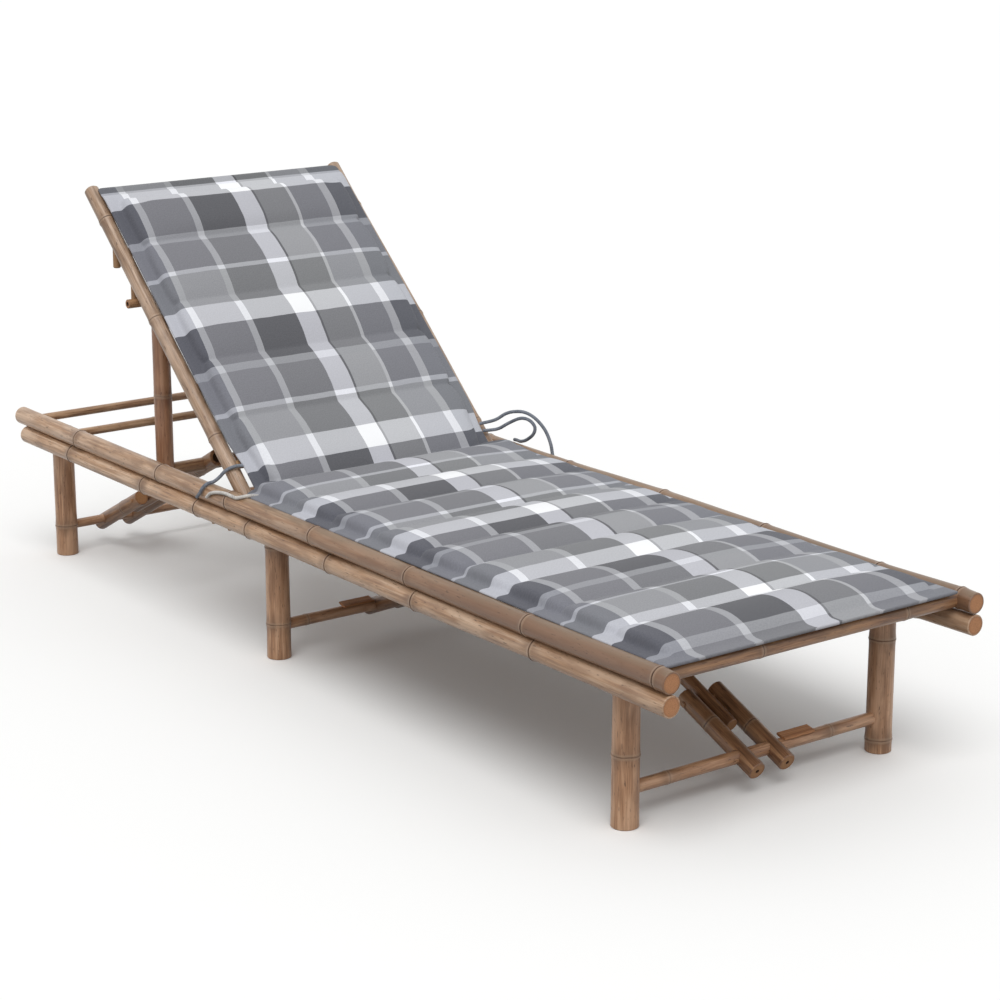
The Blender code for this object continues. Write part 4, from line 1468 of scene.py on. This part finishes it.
    def lip_rows(self) -> list[PadRow]:
        """The crosswise lines of the lip that is drawn over the top rail.

        Returns:
            The lines from the last seam to the hem behind the rail.
        """
        spots = [(s, n, 0.0) for s, n in self.lip_flat]
        for turn in self.lip_turns:
            s, n = self.top_s + self.wrap * math.sin(turn), self.wrap * math.cos(turn)
            spots.append((s, n, turn))
        found = []
        for s, n, turn in spots:
            base = LAY.back(s, n)
            run = self.back_seams[0] - s
            over = self.lip_lay[0] + self.lip_lay[1] * turn
            lay = self.plaid(-over if turn else run)
            half = between(self.back_half, self.lip_half, smooth(turn, 0.2, 1.0))
            bound = 1.0 if s > self.bound_s else 0.0
            found.append(PadRow(base.x, base.z, LAY.recline - turn, lay, half, bound=bound))
        return found

    def height(self, row: PadRow, inset: float) -> float:
        """Thickness of the cushion on one row.

        Args:
            row: the row.
            inset: how far in from the side edge.

        Returns:
            The thickness.
        """
        edge = self.hem * between(self.hem_edge, 1.0, smooth(inset, 0.0, self.hem_round))
        edge *= 1.0 - self.bound_thin * row.bound
        if row.rise == 0.0:
            return edge
        begin = self.flange + self.shoulder_ease * (1.0 - row.full) ** 1.5
        part = min(max((inset - begin) / self.shoulder, 0.0), 1.0)
        round_end = math.sqrt(max(0.0, 1.0 - (1.0 - part) ** 2.2))
        inner = smooth(inset, self.flange, self.flange + self.crown_run)
        crown = between(self.edge_full, 1.0, inner)
        low = row.low * between(self.seam_full, 1.0, crown)
        return edge + round_end * (low + row.rise * row.full * crown)

    def places(self, row: PadRow, seat: float) -> list[tuple[float, float]]:
        """Places across one row, from its near edge to its far one.

        Args:
            row: the row.
            seat: 1 on the seat, 0 on the back.

        Returns:
            Pairs of distance in from the edge and y.
        """
        run, steps = self.shoulder_run, self.rim_steps
        fixed = [*self.rim, *(self.flange + run * k / steps for k in range(steps + 1))]
        steps = self.inner_steps
        inner = [between(fixed[-1], row.half, (k + 1) / steps) for k in range(steps)]
        near = [(inset, inset - row.half) for inset in fixed + inner]
        narrow = 1.0 - self.far_gap * seat / row.half
        return near + [(wide, -y * narrow) for wide, y in reversed(near[:-1])]

    def mesh(self) -> tuple[Object, list[int]]:
        """Make the closed quilted mesh, and list the points that the seams and the deck hold.

        Returns:
            The object, and the indices of the held points.
        """
        bm = bmesh.new()
        lay = bm.verts.layers.float_vector.new("lay")
        held: list[Vert] = []
        tops, bottoms = [], []
        corner, pushed = (Vector((x, 0.0, z)) for x, z in (self.corner, self.corner_push))
        for row in self.seat_rows() + self.back_rows() + self.lip_rows():
            up = Vector((math.sin(row.up), 0.0, math.cos(row.up)))
            base = Vector((row.x, 0.0, row.z))
            away = (base - corner).length
            push = pushed * (1.0 - smooth(away, 0.0, self.corner_push_run))
            seat = smooth(row.x, corner.x, corner.x + self.seat_grow)
            spread = between(1.0, self.seat_spread, seat)
            across = self.places(row, seat)
            top, bottom = [], []
            for inset, y in across:
                thick = self.height(row, inset)
                sunk = self.far_sink * seat * smooth(y, *self.far_sunk_y)
                thick -= max(0.0, thick - self.hem) * sunk
                inner = smooth(inset, self.flange, self.flange + self.corner_push_in)
                lift = up * thick + push * inner
                top.append(bm.verts.new(base + lift + Vector((0.0, y, 0.0))))
                if row.seam or inset < self.flange or row.rise == 0.0:
                    held.append(top[-1])
            for _, y in across[::4]:
                bottom.append(bm.verts.new(base + Vector((0.0, y, 0.0))))
            held += bottom
            for vert in top + bottom:
                # The lay's third value marks the bound edge, which the cloth darkens as painted
                # shade.
                vert[lay] = ((vert.co.y - self.seat_shift * seat) / spread, row.lay, row.bound)
            tops.append(top)
            bottoms.append(bottom)
        strips = zip(zip(tops, tops[1:]), zip(bottoms, bottoms[1:]))
        for (low, high), (under, over) in strips:
            for k in range(len(low) - 1):
                bm.faces.new((low[k], low[k + 1], high[k + 1], high[k]))
            for k in range(len(under) - 1):
                bm.faces.new((under[k], over[k], over[k + 1], under[k + 1]))
            bm.faces.new((low[0], high[0], over[0], under[0]))
            bm.faces.new((low[-1], under[-1], over[-1], high[-1]))
        for top, bottom in ((tops[0], bottoms[0]), (tops[-1], bottoms[-1])):
            for k in range(len(bottom) - 1):
                bm.faces.new([*top[4 * k : 4 * k + 5], bottom[k + 1], bottom[k]])
        bm.verts.index_update()
        indices = [vert.index for vert in held]
        return add_object("cushion", bm), indices

    def inflate(self, obj: Object, held: list[int]) -> None:
        """Fill the channels by cloth pressure, then limit how far any point went.

        Args:
            obj: the cushion.
            held: the points that don't move.
        """
        before = [vert.co.copy() for vert in obj.data.vertices]
        obj.vertex_groups.new(name="held").add(held, 1.0, "REPLACE")
        cloth = obj.modifiers.new("fill", "CLOTH")
        cloth.settings.vertex_group_mass = "held"
        cloth.settings.use_pressure = True
        cloth.settings.uniform_pressure_force = self.pressure
        cloth.settings.effector_weights.gravity = 0.0
        cloth.settings.tension_stiffness = self.stiffness
        cloth.settings.compression_stiffness = self.stiffness
        cloth.collision_settings.use_collision = False
        scene = bpy.context.scene
        for frame in range(1, self.fill_frames + 1):
            scene.frame_set(frame)
        baked(obj)
        scene.frame_set(1)
        for vert, old in zip(obj.data.vertices, before):
            step = vert.co - old
            if step.length > self.swell_cap:
                vert.co = old + step.normalized() * self.swell_cap

    def build(self) -> None:
        """Make, fill, smooth and finish the cushion."""
        obj, held = self.mesh()
        self.inflate(obj, held)
        obj.vertex_groups.clear()
        smoothing = obj.modifiers.new("smooth", "SUBSURF")
        smoothing.levels = smoothing.render_levels = 1
        baked(obj)
        for face in obj.data.polygons:
            face.use_smooth = True
        obj.data.materials.clear()
        obj.data.materials.append(WovenPlaid().build())
        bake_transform(obj)
        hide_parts("pad_seat", "pad_back")
        log.info("cushion: %d faces", len(obj.data.polygons))


# ------------------------------------------------------------------------ tie strings


@dataclass(frozen=True)
class CottonTape:
    """Narrow woven cotton tape folded into a soft string: matt, with a fine twill along it."""

    colour: str
    shade: str
    roughness: float = 0.9

    def build(self, name: str) -> Material:
        """Make the tape's material.

        Args:
            name: the string that it is for.

        Returns:
            The finished material.
        """
        material, add = new_material(f"cotton_tape_{name}")
        where = add("TexCoord").node.outputs["Object"]
        # Threads near 0.9 mm apart, and soft patches 15 mm long.
        thread = add("TexNoise", where, 900.0, 1.0)
        mixed = add("Math MULTIPLY_ADD", add("TexNoise", where, 60.0, 1.0), 0.6, thread)
        inputs = {
            "Base Color": add("ValToRGB", mixed, stops=((0.60, self.shade), (0.95, self.colour))),
            "Roughness": self.roughness,
            "Normal": add("Bump", 0.5, 0.0003, None, thread),
            "Specular IOR Level": 0.2,
        }
        return surface(material, inputs)


@dataclass
class TieStrings:
    """The four loose strings that tie the cushion to the side rails beside the hinge."""

    radius: float = 0.0032
    spacing: float = 0.0045
    fineness: int = 12
    pale: CottonTape = CottonTape("#DAD6D0", "#A19D9A")
    slate: CottonTape = CottonTape("#8B9099", "#5E636D")
    routes: dict[str, tuple[Point, ...]] = field(
        default_factory=lambda: {
            "tie_near_1": (
                (-0.2292, -0.2606, 0.3268), (-0.2330, -0.2730, 0.3266), (-0.2420, -0.2870, 0.3195),
                (-0.2490, -0.2965, 0.3075), (-0.2550, -0.3055, 0.2988), (-0.2595, -0.3160, 0.2958),
                (-0.2620, -0.3245, 0.2888), (-0.2665, -0.3279, 0.2790), (-0.2740, -0.3300, 0.2700),
            ),
            "tie_near_2": (
                (-0.1380, -0.2853, 0.2943), (-0.1378, -0.2960, 0.2968), (-0.1390, -0.3075, 0.2980),
                (-0.1450, -0.3165, 0.2960), (-0.1560, -0.3200, 0.2930), (-0.1740, -0.3202, 0.2932),
                (-0.1900, -0.3210, 0.2936), (-0.2060, -0.3216, 0.2918), (-0.2200, -0.3236, 0.2895),
                (-0.2340, -0.3266, 0.2845), (-0.2420, -0.3284, 0.2765),
            ),
            "tie_far_1": (
                (-0.2292, 0.2608, 0.3268), (-0.2110, 0.2840, 0.3345), (-0.1950, 0.2965, 0.3475),
                (-0.1760, 0.3030, 0.3545), (-0.1500, 0.3090, 0.3570), (-0.1280, 0.3170, 0.3480),
                (-0.1080, 0.3240, 0.3290), (-0.0960, 0.3275, 0.3060), (-0.0900, 0.3278, 0.2860),
                (-0.0880, 0.3282, 0.2765),
            ),
            "tie_far_2": (
                (-0.2190, 0.2613, 0.3150), (-0.2050, 0.2860, 0.3180), (-0.1870, 0.2985, 0.3310),
                (-0.1610, 0.3060, 0.3440), (-0.1360, 0.3080, 0.3450), (-0.1200, 0.3090, 0.3350),
                (-0.1250, 0.3095, 0.3200), (-0.1460, 0.3100, 0.3050), (-0.1680, 0.3130, 0.2970),
                (-0.1840, 0.3165, 0.2955), (-0.1960, 0.3190, 0.2940),
            ),
        }
    )

    def path(self, route: Sequence[Point]) -> list[Vector]:
        """Points at even steps along a smooth curve through a route.

        Args:
            route: the points that the string passes through.

        Returns:
            The new points, first and last the route's own.
        """
        points = [Vector(p) for p in route]
        ends = [2 * points[0] - points[1], *points, 2 * points[-1] - points[-2]]
        dense = []
        for a, b, c, d in zip(ends, ends[1:], ends[2:], ends[3:]):
            square, cube = 2 * a - 5 * b + 4 * c - d, 3 * b - a - 3 * c + d
            for t in (k / self.fineness for k in range(self.fineness)):
                dense.append(0.5 * (2 * b + (c - a) * t + square * t**2 + cube * t**3))
        dense.append(points[-1])
        total = sum((q - p).length for p, q in zip(dense, dense[1:]))
        count = max(2, round(total / self.spacing))
        found, walked, step = [dense[0]], 0.0, total / count
        for p, q in zip(dense, dense[1:]):
            run = (q - p).length
            while walked + run >= step * len(found) and len(found) < count:
                found.append(p.lerp(q, (step * len(found) - walked) / run))
            walked += run
        found.append(dense[-1])
        return found

    def build(self) -> None:
        """Make each string as a free cord of limp tape."""
        for name, route in self.routes.items():
            points = self.path(route)
            curve = bpy.data.curves.new(f"{name}_string", "CURVE")
            curve.dimensions = "3D"
            curve.bevel_depth = self.radius
            curve.bevel_resolution = 4
            curve.use_fill_caps = True
            line = curve.splines.new("POLY")
            line.points.add(len(points) - 1)
            for at, p in zip(line.points, points):
                at.co = (*p, 1.0)
            line.use_smooth = True
            obj = link(f"{name}_string", curve)
            tape = self.pale if name == "tie_near_2" else self.slate
            curve.materials.append(tape.build(name))
            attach(obj, "base")
            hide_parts(name)


# ------------------------------------------------------------------------ studio


@dataclass
class Studio:
    """A pale floor, plain soft light and the camera at the photograph's angle."""

    eye: tuple[float, float, float] = (3.588, -2.537, 1.486)
    yaw: float = math.radians(143.29)
    pitch: float = math.radians(15.46)
    lens: float = 92.68
    sensor: float = 36.0
    clip: tuple[float, float] = (0.05, 200.0)
    floor_half: float = 40.0
    floor_colour: str = "#FBFBFA"
    floor_bounce: str = "#94918E"
    sky_colour: Colour = (0.99, 0.995, 1.0, 1.0)
    sky: float = 0.66
    sun: float = 1.48
    sun_width: float = math.radians(40)
    sun_travel: tuple[float, float, float] = (-0.45, 0.40, -1.0)

    def aim(self, obj: Object, way: Vector) -> None:
        """Turn a camera or a lamp so that it faces this way."""
        obj.rotation_euler = way.to_track_quat("-Z", "Y").to_euler()

    def camera(self) -> None:
        """Place the camera."""
        flat = math.cos(self.pitch)
        way = math.cos(self.yaw) * flat, math.sin(self.yaw) * flat, -math.sin(self.pitch)
        data = bpy.data.cameras.new("camera")
        data.lens = self.lens
        data.sensor_width = self.sensor
        data.clip_start, data.clip_end = self.clip
        camera = link("camera", data)
        camera.location = self.eye
        self.aim(camera, Vector(way))
        bpy.context.scene.camera = camera

    def seen(self, add: Adder) -> Socket:
        """1 for what the camera sees, itself or in a shine, and 0 for what only lights things."""
        ray = add("LightPath").node.outputs
        return add("Math MAXIMUM", ray["Is Camera Ray"], ray["Is Glossy Ray"])

    def floor(self) -> None:
        """Lay the floor, white to the camera and grey to the light."""
        bm = bmesh.new()
        corners = ((-1, -1), (1, -1), (1, 1), (-1, 1))
        size = self.floor_half
        bm.faces.new([bm.verts.new((x * size, y * size, 0.0)) for x, y in corners])
        floor = add_object("studio_floor", bm)
        material, add = new_material("matt_studio_paper")
        tone = add("Mix RGBA", self.seen(add), self.floor_bounce, self.floor_colour)
        inputs = {"Base Color": tone, "Roughness": 0.95, "Specular IOR Level": 0.0}
        floor.data.materials.append(surface(material, inputs))

    def light(self) -> None:
        """Light the piece from all round, with one soft lamp above the foot end's near side."""
        world = bpy.data.worlds.new("studio")
        bpy.context.scene.world = world
        world.use_nodes = True
        world.node_tree.nodes.clear()
        add = partial(put, world.node_tree)
        lit = add("Background", self.sky_colour, self.sky)
        plain = add("Background", (1.0, 1.0, 1.0, 1.0), 1.0)
        add("OutputWorld", add("MixShader", self.seen(add), lit, plain))
        data = bpy.data.lights.new("window", "SUN")
        data.energy = self.sun
        data.angle = self.sun_width
        self.aim(link("window", data), Vector(self.sun_travel))

    def build(self) -> None:
        """Set up the studio."""
        self.camera()
        self.floor()
        self.light()
        bpy.context.scene.view_settings.view_transform = "Standard"


def main() -> None:
    """Build the studio and the lounger's sub-assemblies in order."""
    logging.basicConfig(level=logging.INFO, format="%(name)s: %(message)s")
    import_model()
    for part in (Studio(), TieStrings(), Cushion(), Sides(), *LEG_FRAMES, Backrest(), Decks()):
        log.info("building %s", type(part).__name__)
        part.build()


if __name__ == "__main__":
    main()
